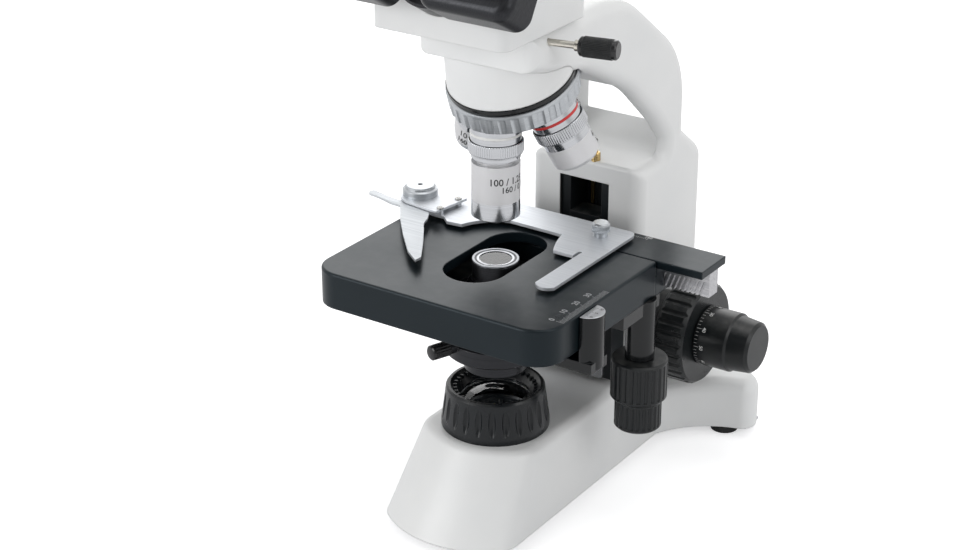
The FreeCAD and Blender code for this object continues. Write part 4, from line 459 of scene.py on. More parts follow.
# %% Finish: black anodising
def anodised(name, axle, roughness=0.3):
    """Black anodised metal with lathe marks about an axle."""
    material, tree = start_finish(name, Metallic=0.75)
    marks = use(tree, lathe_marks, Centre=axle[0], Axis=axle[1], Pitch=0.00022)
    edges = use(tree, soft_edges, Radius=0.0003)
    tone = blend_colours(tree, marks["Streak"], (0.035, 0.036, 0.040), (0.020, 0.021, 0.024))
    coat(tree, rub(tree, tone, edges, 0.5, (0.30, 0.30, 0.31)),
         spread(tree, marks["Streak"], roughness - 0.05, roughness + 0.06),
         (marks["Height"], 0.00001, 0.4, edges["Normal"]))
    return material


print("black anodising ready")

# %% [markdown]
# Knobs, eyepieces and the lamp collar are moulded in black plastic.  It has a fine grain, and
# its edges turn a little grey with handling.

# %% Finish: moulded plastic
def moulded(name, colour, worn, roughness, grain=0.00035, relief=0.25, dust=0.12):
    """Plastic with grain, rubbed edges and a trace of dust."""
    material, tree = start_finish(name, IOR=1.5, Specular_IOR_Level=0.36)
    skin = use(tree, fine_grain, Size=grain)
    edges = use(tree, soft_edges, Radius=0.0004)
    tone = blend_colours(tree, skin["Mask"], colour, lighter(colour, 0.75))
    tone = rub(tree, tone, edges, 0.6, worn)
    coat(tree, sprinkle(tree, tone, dust, (0.35, 0.34, 0.32)),
         spread(tree, skin["Mask"], roughness - 0.04, roughness + 0.06),
         (skin["Height"], 0.00003, relief, edges["Normal"]))
    return material


print("moulded plastic ready")

# %% [markdown]
# Ground glass surfaces are smooth, with a faint coating and a few specks.  Metallic and
# transmission stay plain numbers, and only the roughness and a slight tint vary.

# %% Finish: glass
def optical_glass(name, tint, coating):
    """Clear glass whose tint and polish change slightly over the surface."""
    material, tree = start_finish(name, IOR=1.52, Transmission_Weight=1.0, Metallic=0.0)
    film = use(tree, fine_grain, Size=0.0008)
    coat(tree, blend_colours(tree, film["Mask"], tint, coating),
         spread(tree, film["Mask"], 0.0, 0.03),
         (film["Height"], 0.000005, 0.05, add(tree, "NewGeometry").outputs["Normal"]))
    return material


print("finishes use", len(bpy.data.node_groups), "groups")

# %% [markdown]
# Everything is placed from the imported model.  A hinge gives a point and an axis, and the four
# objectives share one pattern: each is the upright one turned about the turret's axis.  The
# shoulder of an objective lies 45 mm above its focus, as on any standard one.

# %% Places from the frame
PARFOCAL = 45.0 * MM


def hinge(name):
    """The point and the direction of a hinge, as vectors."""
    joint = hinges[name]
    return Vector(joint["pos_m"]), Vector(joint["axis"])


def box(name):
    """The low and the high corner of a node in mm."""
    return [Vector(corner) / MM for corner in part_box(name)]


def middle(name):
    """The centre of a node's box."""
    low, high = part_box(name)
    return (Vector(low) + Vector(high)) / 2


def at(x, y, z=0.0):
    """A place at a point in mm, with level axes."""
    return Matrix.Translation(Vector((x, y, z)) * MM)


def turned(angle):
    """A turn about the Z axis by an angle in radians."""
    return Matrix.Rotation(angle, 4, "Z")


def aimed(point, direction, roll=UP):
    """A place whose Z axis points along a direction."""
    direction = Vector(direction).normalized()
    side = Vector(roll).cross(direction)
    if side.length < 1e-6:
        side = Vector((1, 0, 0))
    side.normalize()
    axes = Matrix((side, direction.cross(side), direction)).transposed().to_4x4()
    return Matrix.Translation(point) @ axes


apex, turret_axis = hinge("turret_turn")
SHOULDER_REACH = apex.z - Vector(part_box("barrel_100x")[0]).z - PARFOCAL
OBJECTIVES = {"100x": 0.0, "4x": -90.0, "10x": 90.0, "40x": 180.0}


def objective_place(power):
    """An objective's own frame: its origin on the shoulder, and -Z down the barrel."""
    swing = Matrix.Rotation(math.radians(OBJECTIVES[power]), 4, turret_axis)
    return Matrix.Translation(apex) @ swing @ Matrix.Translation((0, 0, -SHOULDER_REACH))


def side_angle(place, direction):
    """The angle round a place's Z axis that faces a direction, in degrees."""
    local = place.to_3x3().inverted() @ direction
    return math.degrees(math.atan2(local.y, local.x))


for power in OBJECTIVES:
    print(power, "shoulder at",
          [round(part / MM, 1) for part in objective_place(power).translation])

# %% [markdown]
# The castings are white enamel.  The arm's slot, where the stage travels, is lined in black,
# and its corners come from the black guide that stands in it.

# %% Dress the castings
WHITE = ((0.80, 0.805, 0.80), (0.755, 0.765, 0.765))


def dress(material, *names):
    """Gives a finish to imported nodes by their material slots."""
    for name in names:
        for slot in nodes[name].material_slots:
            slot.material = material


guide_low, guide_high = box("focus_guide")
slot_low = Vector((guide_low.x - 0.3, guide_low.y - 1.6, guide_low.z - 1)) * MM
slot_high = Vector((guide_high.x + 0.3, guide_high.y + 1, guide_high.z + 0.6)) * MM


def slot_lining(tree):
    """1 on the walls of the slot in the arm."""
    return use(tree, box_mask, Low=slot_low, High=slot_high)["Mask"]


dress(enamel("white_enamel", *WHITE, 0.34), "base_casting", "nosepiece_carrier", "head_housing")
dress(enamel("arm_enamel", *WHITE, 0.34, lining=(slot_lining, (0.012,) * 3)), "arm_casting")
print("slot lined from", [round(part / MM) for part in slot_low])

# %% [markdown]
# The stage is satin black enamel over cast iron, smooth enough to mirror the room at a low
# angle.  Brackets, lens mounts and eyepiece tubes are a coarser black, and the drive column,
# the seal and the pillar are glossy.

# %% Dress the black parts
UPRIGHT_AXLE = ((0, 0, 0), (0, 0, 1))
# The blue in the stage's black and its blue specular tint are a painted reflection: they give
# the stage the blue-grey cast it shows where it mirrors the room.
stage_enamel = enamel("stage_enamel", (0.004, 0.007, 0.009), (0.006, 0.010, 0.013), 0.30,
                      peel=0.25, dust=0.02, Specular_IOR_Level=0.27,
                      Specular_Tint=(0.80, 0.92, 1.0, 1.0))
cast_black = moulded("cast_black", (0.009, 0.012, 0.014), (0.07, 0.072, 0.075), 0.42,
                     grain=0.0005, relief=0.35)
gloss_black = moulded("gloss_black", (0.009, 0.010, 0.011), (0.05, 0.05, 0.055), 0.14,
                      grain=0.0012, relief=0.08)
dress(stage_enamel, "stage_plate", "stage_rail", "x_slide")
dress(cast_black, "stage_bracket", "stage_frame", "condenser_carrier", "focus_guide")
dress(gloss_black, "drive_column", "nosepiece_seal")
dress(anodised("anodised_upright", UPRIGHT_AXLE), "condenser_body", "iris_ring")
dress(anodised("anodised_tubes", hinge("left_tube_fold"), 0.34), "head_hub", "left_eyetube",
      "right_eyetube")
print("black parts dressed")

# %% [markdown]
# The pillar beside the stage is glossy black with a bright machined top, which carries the
# vernier.  A height mask parts the two, and it drives the metal as well as the colour.

# %% Dress the pillar
pillar_low, pillar_high = box("vernier_pillar")
material, tree = start_finish("pillar_enamel", IOR=1.5, Specular_IOR_Level=0.36)
skin = use(tree, fine_grain, Size=0.0012)
edges = use(tree, soft_edges, Radius=0.0004)
streaks = use(tree, brushed_streaks, Stretch=(1400, 25, 1400))["Streak"]
bare = use(tree, span_mask, Centre=(0, 0, pillar_high.z * MM), Start=-0.25 * MM,
           End=1 * MM)["Mask"]
metal_tone = blend_colours(tree, streaks, (0.66, 0.67, 0.69), (0.54, 0.55, 0.57))
paint_tone = blend_colours(tree, edges["Mask"], (0.004, 0.005, 0.006), (0.05, 0.055, 0.06))
coat(tree, blend_colours(tree, bare, paint_tone, metal_tone), blend(tree, bare, 0.16, 0.30),
     (skin["Height"], 0.00002, 0.1, edges["Normal"]), bare)
dress(material, "vernier_pillar")
print("pillar top at", round(pillar_high.z, 1), "mm")

# %% [markdown]
# The lock screw is one node with two finishes: a bare nickel shaft and a black cap.  The mask
# runs along its hinge axis, and the cap starts where the shaft's flare ends.

# %% Dress the lock screw
lock_point, lock_axis = hinge("lock_turn")
lock_reach = (Vector(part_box("lock_screw")[1]).x - lock_point.x) / lock_axis.x
CAP_LENGTH = 17.5 * MM
FLARE = 1.2 * MM
material, tree = start_finish("lock_finish", IOR=1.5)
marks = use(tree, lathe_marks, Centre=lock_point, Axis=lock_axis, Pitch=0.0002)
edges = use(tree, soft_edges, Radius=0.0003)
bare = use(tree, span_mask, Centre=lock_point, Axis=lock_axis, Start=-0.05,
           End=lock_reach - CAP_LENGTH - FLARE)["Mask"]
nickel = blend_colours(tree, marks["Streak"], (0.70, 0.67, 0.60), (0.58, 0.55, 0.49))
cap_tone = blend_colours(tree, edges["Mask"], (0.011, 0.011, 0.012), (0.07, 0.07, 0.07))
coat(tree, blend_colours(tree, bare, cap_tone, nickel), blend(tree, bare, 0.25, 0.2),
     (marks["Height"], 0.00001, 0.3, edges["Normal"]), bare)
dress(material, "lock_screw")
print("lock screw reaches", round(lock_reach / MM, 1), "mm")

# %% [markdown]
# The silver parts are nickel or clear anodised aluminium.  Turned ones get lathe marks about
# the axis they were turned on, and plates get streaks along their length.

# %% Dress the silver and steel parts
SILVER = ((0.52, 0.54, 0.56), (0.43, 0.45, 0.47))
SHEET = ((0.72, 0.74, 0.77), (0.65, 0.67, 0.70))
# The finger is the same satin sheet as the holder plate. Its darker copy is painted shade that
# tones down the glare it catches from the back panel.
SHEET_PAINTED_SHADE = ((0.60, 0.62, 0.64), (0.54, 0.56, 0.58))
ROLLED = ((0.52, 0.53, 0.55), (0.42, 0.43, 0.45))
STEEL = ((0.56, 0.56, 0.57), (0.42, 0.42, 0.44))
BRASS = ((0.72, 0.53, 0.24), (0.60, 0.42, 0.18))
LENGTHWAYS = {"stretch": (30, 1300, 1300)}

turret_axle = {"axle": (apex, turret_axis)}
focus_point, focus_axis = hinge("coarse_turn")
pivot_point, pivot_axis = hinge("finger_open")
thumb_point = middle("thumb_screw")
for name, tones, roughness, marks, parts in (
        ("satin_turret", SILVER, 0.30, turret_axle, ("nosepiece_turret",)),
        ("satin_sheet", SHEET, 0.50, LENGTHWAYS, ("holder_plate", "finger_cover")),
        # The finger's darker sheet is painted shade.
        ("satin_sheet_painted_shade", SHEET_PAINTED_SHADE, 0.56, LENGTHWAYS, ("slide_finger",)),
        ("satin_cap", SILVER, 0.28, {"axle": (pivot_point, pivot_axis)}, ("pivot_cap",)),
        ("satin_thumb", SILVER, 0.24, {"axle": (thumb_point, UP)}, ("thumb_screw",)),
        ("rolled_cover", ROLLED, 0.38, LENGTHWAYS, ("bottom_cover", "bracket_cover")),
        ("ground_steel", STEEL, 0.28, {"stretch": (40, 1500, 1500)}, ("focus_rack", "x_rack")),
        ("turned_steel", STEEL, 0.24, {"axle": (focus_point, focus_axis)},
         ("focus_bushes", "coarse_shaft")),
        ("spindle_steel", STEEL, 0.26, turret_axle, ("nosepiece_spindle",)),
        ("dovetail_steel", STEEL, 0.26, {"axle": UPRIGHT_AXLE}, ("head_dovetail",)),
        ("strip_brass", BRASS, 0.3, {"stretch": (1400, 1400, 30)}, ("guide_strip",))):
    dress(bright_metal(name, *tones, roughness, **marks), *parts)
print("silver, steel and brass dressed")

# %% [markdown]
# An objective is chrome above and pearl grey on its barrel, with a chrome nose.  The distance
# below the shoulder decides which, so one function dresses them all.  Pearl is a paint with
# fine metal in it: part metal, quite rough.

# %% Dress the objectives
PEARL = ((0.68, 0.68, 0.69), (0.63, 0.63, 0.645))
CHROME = ((0.58, 0.59, 0.61), (0.50, 0.51, 0.53))
PEARL_BANDS = {"100x": (16.0, 34.8), "40x": (16.0, 36.0), "10x": (16.2, 27.0),
               "4x": (16.2, 40.0)}


def objective_finish(power, start, end):
    """Chrome, with a pearl band between two distances below the shoulder in mm."""
    place = objective_place(power)
    axle = {"Centre": place.translation, "Axis": place.to_3x3() @ -UP}
    material, tree = start_finish("objective_finish_" + power)
    marks = use(tree, lathe_marks, Pitch=0.00018, **axle)
    edges = use(tree, soft_edges, Radius=0.0002)
    pearl = use(tree, span_mask, Start=start * MM, End=end * MM, **axle)["Mask"]
    chrome_tone = blend_colours(tree, marks["Streak"], *CHROME)
    pearl_tone = blend_colours(tree, use(tree, fine_grain, Size=0.0004)["Mask"], *PEARL)
    coat(tree, blend_colours(tree, pearl, chrome_tone, pearl_tone),
         blend(tree, pearl, spread(tree, marks["Streak"], 0.09, 0.16), 0.38),
         (marks["Height"], 0.000008, 0.35, edges["Normal"]), spread(tree, pearl, 1.0, 0.30))
    return material


objective_finishes = {power: objective_finish(power, *band)
                      for power, band in PEARL_BANDS.items()}
for power, finish in objective_finishes.items():
    dress(finish, *(name for name in ("objective_" + power, "barrel_" + power)
                    if name in nodes))
print("objectives dressed:", ", ".join(objective_finishes))

# %% [markdown]
# Knobs, collar, eyepieces and switches are moulded.  The feet are soft rubber, which is matt
# and collects dust.  The lamp board is plain fibreglass with a white face and a yellow lamp.

# %% Dress the moulded parts
knob_plastic = moulded("knob_plastic", (0.007, 0.009, 0.010), (0.06, 0.06, 0.062), 0.30)
collar_plastic = moulded("collar_plastic", (0.006, 0.008, 0.010), (0.075, 0.08, 0.085), 0.27,
                         grain=0.0006, relief=0.15)
eyepiece_plastic = moulded("eyepiece_plastic", (0.009, 0.010, 0.011), (0.06, 0.06, 0.06), 0.38)
foot_rubber = moulded("foot_rubber", (0.022, 0.022, 0.022), (0.06, 0.06, 0.058), 0.72,
                      grain=0.0007, relief=0.5, dust=0.3)
dress(knob_plastic, "coarse_knobs", "fine_knobs", "tension_collar", "condenser_knob",
      "y_drive_knob", "x_drive_knob", "brightness_dial", "power_switch", "power_inlet")
dress(collar_plastic, "illuminator_collar")
dress(eyepiece_plastic, "left_eyepiece", "right_eyepiece", "diopter_ring")
dress(foot_rubber, "rubber_feet")
dress(optical_glass("field_glass", (0.97, 0.98, 0.98), (0.90, 0.93, 0.97)), "field_lens")
dress(optical_glass("condenser_glass", (0.97, 0.98, 0.98), (0.88, 0.90, 0.95)),
      "condenser_lenses")

material, tree = start_finish("lamp_board_finish", IOR=1.5)
weave = use(tree, fine_grain, Size=0.0005)["Mask"]
lamp_mask = use(tree, span_mask, Centre=(0, 0, Vector(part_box("lamp_board")[1]).z),
                Start=-5 * MM, End=1 * MM)["Mask"]
board_tone = blend_colours(tree, weave, (0.78, 0.79, 0.78), (0.66, 0.68, 0.67))
coat(tree, blend_colours(tree, lamp_mask, board_tone, (0.80, 0.66, 0.22)),
     spread(tree, weave, 0.35, 0.5))
dress(material, "lamp_board")
print("moulded parts dressed")

# %% [markdown]
# New pieces are meshes in metres at their final place, so each object's own origin stays at
# zero, as the imported nodes' do.  Each rides on the body that carries it and takes a finish.

# %% Helpers for new pieces
def link_piece(name, mesh, body):
    """Makes an object of a mesh and sets what carries it."""
    piece = bpy.data.objects.new(name, mesh)
    scene.collection.objects.link(piece)
    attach(piece, body)
    return piece


def new_piece(name, build, material, body, sharp=32.0):
    """Makes a piece of a built shape, smooth apart from its sharp edges, with a finish."""
    bmesh.ops.remove_doubles(build, verts=build.verts, dist=2e-7)
    bmesh.ops.recalc_face_normals(build, faces=build.faces)
    mesh = bpy.data.meshes.new(name)
    build.to_mesh(mesh)
    build.free()
    mesh.shade_smooth()
    mesh.set_sharp_from_angle(angle=math.radians(sharp))
    mesh.materials.append(material)
    return link_piece(name, mesh, body)


def turn(outline, place=None, steps=96, ribs=0, rib_height=0.0):
    """Turns a closed outline of (radius, height, rib share) in mm round a place's Z axis."""
    build = bmesh.new()
    place = place or Matrix()
    if ribs:
        steps = ribs * 4
    rows = []
    for step in range(steps):
        angle = 2 * math.pi * step / steps
        lift = rib_height * (0, 1, 1, 0)[step % 4] if ribs else 0.0
        row = []
        for radius, height, *share in outline:
            out = radius + lift * (share[0] if share else 0)
            row.append(build.verts.new(place @ (Vector((
                out * math.cos(angle), out * math.sin(angle), height)) * MM)))
        rows.append(row)
    for row, after in zip(rows, rows[1:] + rows[:1]):
        for index, point in enumerate(outline):
            following = (index + 1) % len(outline)
            if point[0] > 1e-6 or outline[following][0] > 1e-6:
                build.faces.new((row[index], after[index], after[following], row[following]))
    return build


def ring(inner, outer, low, high, bevel=0.15):
    """The outline of a ring with bevelled outer edges."""
    return ((inner, low), (outer - bevel, low), (outer, low + bevel), (outer, high - bevel),
            (outer - bevel, high), (inner, high))


def block(build, low, high, place=None):
    """Adds a box between two corners in mm to a shape."""
    place = place or Matrix()
    corners = [build.verts.new(place @ (Vector((x, y, z)) * MM))
               for z in (low[2], high[2]) for y in (low[1], high[1]) for x in (low[0], high[0])]
    for face in ((0, 1, 3, 2), (4, 6, 7, 5), (0, 4, 5, 1), (1, 5, 7, 3), (3, 7, 6, 2),
                 (2, 6, 4, 0)):
        build.faces.new([corners[index] for index in face])
    return build


print("piece helpers ready")

# %% [markdown]
# Objectives have a straight knurl that the fingers grip, and a colour ring that tells the
# power.  A knurl could be a bump, but its outline shows against the light, so it is a ring
# with real ribs.  The rear objective passes close to the arm, so the ribs may not stand
# proud: each objective is replaced by a copy that is necked in where its knurl goes on.
# The colours are the usual ones: red, yellow, light blue and white.

# %% Knurls and colour rings
BAND_COLOURS = {"4x": ((0.62, 0.03, 0.03), (0.50, 0.02, 0.02)),
                "10x": ((0.75, 0.55, 0.05), (0.62, 0.44, 0.04)),
                "40x": ((0.12, 0.42, 0.70), (0.09, 0.34, 0.60)),
                "100x": ((0.82, 0.82, 0.80), (0.74, 0.74, 0.72))}
# Heights in these outlines run down from the shoulder.
KNURL = ((12.2, -6.35), (12.48, -6.45), (12.54, -6.75, 1), (12.54, -11.6, 1), (12.48, -11.95),
         (12.2, -12.05))
COLOUR_RING = ring(11.4, 11.9, -3.6, -2.2, 0.1)
KNURL_RIBS = 72
NECK_RADIUS = 12.35
NECK_TOP = KNURL[0][1] + 0.6
NECK_BOTTOM = KNURL[-1][1] - 0.6


def neck_in(power):
    """Replaces an objective by a copy that is slimmer over the height of its knurl."""
    place = objective_place(power)
    mesh = nodes["objective_" + power].data.copy()
    mesh.name = "sleeve_" + power
    mesh.materials.clear()
    mesh.materials.append(objective_finishes[power])
    for vertex in mesh.vertices:
        point = place.inverted() @ vertex.co / MM
        reach = math.hypot(point.x, point.y)
        if reach > NECK_RADIUS and NECK_BOTTOM < point.z < NECK_TOP:
            share = NECK_RADIUS / reach
            vertex.co = place @ (Vector((point.x * share, point.y * share, point.z)) * MM)
    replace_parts(link_piece(mesh.name, mesh, "turret"), "objective_" + power)


for power in OBJECTIVES:
    place = objective_place(power)
    neck_in(power)
    new_piece("knurl_" + power, turn(KNURL, place, ribs=KNURL_RIBS, rib_height=0.20),
              objective_finishes[power], "turret", sharp=20)
    new_piece("colour_ring_" + power, turn(COLOUR_RING, place),
              enamel("band_" + power, *BAND_COLOURS[power], 0.25, peel=0.1), "turret")
print("knurls and colour rings on", len(OBJECTIVES), "objectives")

# %% [markdown]
# The figures on a barrel are its power and aperture over its tube length and cover glass:
# plain numbers in black.  The built-in font gives flat figures.  They are cut into narrow
# strips and wrapped round the barrel, so that they lie on it without cutting through.

# %% Helpers for figures
FIGURE_DEPTH = 0.03
FIGURE_WEIGHT = 0.012
STRIP = 0.7


def add_figures(build, text, size, put, wrapped=False):
    """Adds figures in mm to a shape; put takes a point of the flat text to its place."""
    curve = bpy.data.curves.new("figures", "FONT")
    curve.body = text
    curve.size = size
    curve.extrude = FIGURE_DEPTH / 2
    curve.offset = FIGURE_WEIGHT * size
    curve.resolution_u = 3
    holder = bpy.data.objects.new("figures", curve)
    flat = bpy.data.meshes.new_from_object(holder)
    bpy.data.objects.remove(holder)
    shape = bmesh.new()
    shape.from_mesh(flat)
    xs = [vertex.co.x for vertex in shape.verts]
    ys = [vertex.co.y for vertex in shape.verts]
    shift = Vector()
    if wrapped:
        for number in range(1, int(max(xs) / STRIP) + 1):
            parts = shape.verts[:] + shape.edges[:] + shape.faces[:]
            bmesh.ops.bisect_plane(shape, geom=parts, plane_co=(number * STRIP, 0, 0),
                                   plane_no=(1, 0, 0), dist=1e-5)
    else:
        shift = Vector(((min(xs) + max(xs)) / 2, (min(ys) + max(ys)) / 2, 0))
    for vertex in shape.verts:
        vertex.co = put(vertex.co - shift)
    shape.to_mesh(flat)
    shape.free()
    build.from_mesh(flat)
    bpy.data.meshes.remove(flat)


def flat_figures(build, text, size, place):
    """Figures centred in a place's XY plane."""
    add_figures(build, text, size, lambda point: place @ (point * MM))


def wrapped_figures(build, text, size, place, barrel, start, height):
    """Figures round a cylinder of a radius in mm, from a start angle in degrees."""
    def put(point):
        angle = math.radians(start) + point.x / barrel
        out = barrel + FIGURE_DEPTH + point.z
        return place @ (Vector((out * math.cos(angle), out * math.sin(angle),
                                height + point.y)) * MM)
    add_figures(build, text, size, put, wrapped=True)


black_ink = enamel("black_ink", (0.012, 0.012, 0.013), (0.02, 0.02, 0.022), 0.4, peel=0.1,
                   dust=0.0)
white_ink = enamel("white_ink", (0.78, 0.78, 0.77), (0.66, 0.66, 0.66), 0.45, peel=0.1,
                   dust=0.0)
grey_ink = enamel("grey_ink", (0.42, 0.43, 0.44), (0.34, 0.35, 0.36), 0.45, peel=0.1, dust=0.0)
print("figure helpers ready")

# %% [markdown]
# Each barrel reads from a little left of the camera's side round to the right.

# %% Figures on the barrels
# Each line of figures is its text, size, start angle and height from the shoulder.
MARKS = {"100x": (11.25, ("100 / 1.25", 4.6, -17, -25.3), ("160 / 0.17", 4.0, 12, -29.0)),
         "10x": (11.4, ("10 / 0.25", 4.6, -45, -21.0), ("160 / 0.17", 4.0, -50, -25.2)),
         "40x": (11.25, ("40 / 0.65", 4.6, -17, -25.3), ("160 / 0.17", 4.0, 12, -29.0)),
         "4x": (11.4, ("4 / 0.10", 4.6, 62, -20.6), ("160 / 0.17", 4.0, 70, -24.6))}
for power, (barrel, *lines) in MARKS.items():
    place = objective_place(power)
    camera_side = side_angle(place, toward_camera)
    figures = bmesh.new()
    for text, size, start, height in lines:
        wrapped_figures(figures, text, size, place, barrel, camera_side + start, height)
    body = {"100x": "nose_100x", "40x": "nose_40x"}.get(power, "turret")
    new_piece("figures_" + power, figures, black_ink, body)
print("figures on", len(MARKS), "barrels")

# %% [markdown]
# The lamp collar is more than a ring.  Inside its mouth stand thin ribs that let warm air out,
# and a clamping ring holds the lens over a bright cup.  The ribs are blocks set round the
# axis; a bump would not cast the small shadows between them.

# %% Lamp collar details
RIB_COUNT = 36
collar_top = box("illuminator_collar")[1].z
lens_low, lens_high = box("field_lens")
lens = lens_high.x

ribs = bmesh.new()
for number in range(RIB_COUNT):
    block(ribs, (lens + 1.9, -0.45, collar_top - 7.5), (lens + 4.9, 0.45, collar_top - 1.4),
          turned(2 * math.pi * number / RIB_COUNT))
new_piece("collar_ribs", ribs, collar_plastic, "stand", sharp=20)
new_piece("lens_clamp", turn((
    (lens + 0.1, -9.6), (lens + 2.2, -9.6), (lens + 2.2, -6.8), (lens + 1.2, -5.9),
    (lens + 0.1, -6.3)), at(0, 0, collar_top)), gloss_black, "stand")
cup_chrome = bright_metal("cup_chrome", (0.82, 0.82, 0.83), (0.74, 0.74, 0.76), 0.10,
                          UPRIGHT_AXLE)
new_piece("lamp_cup", turn((
    (lens + 0.06, lens_low.z + 0.4), (lens + 0.36, lens_low.z + 0.4),
    (lens + 0.36, collar_top - 9.7), (lens + 0.06, collar_top - 9.7))),
    cup_chrome, "stand")
print("collar:", RIB_COUNT, "ribs, a clamp and a cup round a lens of", round(lens, 1))

# %% [markdown]
# The condenser's top lens sits in a grey metal cell inside a darker rim.  The iris lever ends
# in a ribbed cap with a smooth round face.

# %% Condenser details
def far_point(name, direction):
    """The point of a node that lies furthest along a direction."""
    return max((vertex.co for vertex in nodes[name].data.vertices),
               key=lambda point: point.dot(direction)).copy()


LEVER_ANGLE = math.radians(-90 - 20.7)
LEVER = 3.25
top = at(0, 0, box("condenser_body")[1].z)
rim_metal = bright_metal("rim_metal", (0.34, 0.35, 0.37), (0.27, 0.28, 0.30), 0.30,
                         UPRIGHT_AXLE)
cell_metal = bright_metal("cell_metal", (0.46, 0.47, 0.49), (0.38, 0.39, 0.41), 0.24,
                          UPRIGHT_AXLE)
new_piece("condenser_rim", turn((
    (9.7, -0.4), (11.05, -0.4), (11.05, 0.05), (10.85, 0.25), (9.9, 0.25), (9.7, 0.05)), top),
    rim_metal, "condenser")
new_piece("condenser_cell", turn((
    (7.65, -0.3), (8.9, -0.3), (8.9, 0.05), (8.2, 0.22), (7.65, 0.05)), top),
    cell_metal, "condenser")

lever_line = Vector((math.cos(LEVER_ANGLE), math.sin(LEVER_ANGLE), 0))
lever_reach = far_point("iris_ring", lever_line).dot(lever_line)
lever_z = max(vertex.co.z for vertex in nodes["iris_ring"].data.vertices
              if vertex.co.dot(lever_line) > lever_reach - 1e-5) - LEVER * MM
lever_cap = turn(((0, -9.0), (LEVER, -9.0), (LEVER + 0.1, -8.8, 1), (LEVER + 0.1, -0.6, 1),
                  (LEVER + 0.35, -0.3), (LEVER + 0.35, 0.5), (LEVER - 0.3, 1.0), (1.6, 1.25),
                  (0, 1.3)),
                 aimed(lever_line * lever_reach + UP * lever_z, lever_line),
                 ribs=16, rib_height=0.28)
new_piece("lever_cap", lever_cap, gloss_black, "iris", sharp=24)
print("iris lever reaches", round(lever_reach / MM, 1), "mm")

# %% [markdown]
# A printed scale is a row of hair-thin bars with numbers beside them.  It could be a pattern
# in the finish, but that would blur close by, so each line is a shape in the same ink as the
# figures.  A scale is made along its own X axis, and its place lays it on the part.

# %% Helper: printed scales
INK = 0.03


def graduation(step, tens, fives, units):
    """The length of a scale's line, which tells tens and fives from the rest."""
    return tens if step % 10 == 0 else fives if step % 5 == 0 else units


def printed_scale(place, steps, lengths, width, size, spot, every=10, first=0, division=1.0):
    """Lines across a place's X axis, with a number at a spot beside every few of them."""
    build = bmesh.new()
    for step in range(steps + 1):
        x, y = division * step, graduation(step, *lengths)
        block(build, (x - width / 2, min(0, y), 0), (x + width / 2, max(0, y), INK), place)
    for step in range(0, steps + 1, every):
        flat_figures(build, str(first + step), size,
                     place @ at(division * step + spot[0], spot[1], INK / 2))
    return build


print("scales are", INK, "mm thick")

# %% [markdown]
# The stage carries a millimetre scale along its right edge, and the cross slide one along its
# back.  The two together give the place of a spot on the specimen.

# %% Stage scales
SLIDE_START = -12.0
quarter = turned(math.pi / 2)
stage_low, stage_high = box("stage_plate")
start = stage_low.y + 15.1
back = box("x_slide")[1].y
new_piece("stage_scale", printed_scale(
    at(stage_high.x - 0.7, start, stage_high.z) @ quarter, 38, (4.0, 3.5, 3.0), 0.22, 4.0,
    (0.4, 6.6)), grey_ink, "stage_y")
new_piece("slide_scale", printed_scale(
    at(SLIDE_START, back - 2.6, stage_high.z), 60, (-1.6, -1.2, -0.8), 0.2, 2.6, (0, 1.3),
    first=100), white_ink, "holder")
print("stage scale from y =", round(start, 1), "mm, slide scale from x =", SLIDE_START, "mm")

# %% [markdown]
# A vernier is engraved in the pillar's bright top: ten divisions over nine millimetres.  The
# line that meets one of the stage's own gives the tenth of a millimetre.

# %% Vernier
DIVISION = 0.9
vernier_start = (pillar_low.y + pillar_high.y) / 2 - 5 * DIVISION
new_piece("vernier_marks", printed_scale(
    at(stage_high.x + 0.5, vernier_start, pillar_high.z) @ quarter, 10, (-2.6, -2.6, -1.8),
    0.18, 2.1, (0, -4.1), every=5, division=DIVISION), black_ink, "stage_lift")
print("vernier from y =", round(vernier_start, 1), "mm")

# %% [markdown]
# A screw head is small, but it is read at once.  Its dome is a fine round grid whose points
# sink where the cross recess is, so the recess has real walls.

# %% Helper: screw heads
def screw_head(build, place, head, height=0.9, rings=12, steps=48):
    """Adds a domed head with a cross recess, with its seat on a place's XY plane."""
    reach, half, wall = head * 0.62, head * 0.13, head * 0.09
    corners = [(math.cos(2 * math.pi * step / steps), math.sin(2 * math.pi * step / steps))
               for step in range(steps)]
    rows = []
    for row in range(rings + 1):
        distance = head * row / rings
        line = []
        for x, y in ((distance * across, distance * up) for across, up in corners):
            inside = max(min(reach - abs(x), half - abs(y)), min(reach - abs(y), half - abs(x)))
            sink = min(1.0, max(0.0, inside / wall))
            z = height * (1 - 0.45 * (distance / head) ** 3) - 0.6 * height * sink
            line.append(build.verts.new(place @ (Vector((x, y, z)) * MM)))
        rows.append(line)
    rows.append([build.verts.new(place @ (Vector((head * across, head * up, -0.1)) * MM))
                 for across, up in corners])
    for inner, outer in zip(rows, rows[1:]):
        for step in range(steps):
            after = (step + 1) % steps
            build.faces.new((inner[step], inner[after], outer[after], outer[step]))
    build.faces.new(rows[-1])


print("screw helper ready")

# %% [markdown]
# Two screws hold the finger's cover plate, two the bracket cover and six the bottom cover.

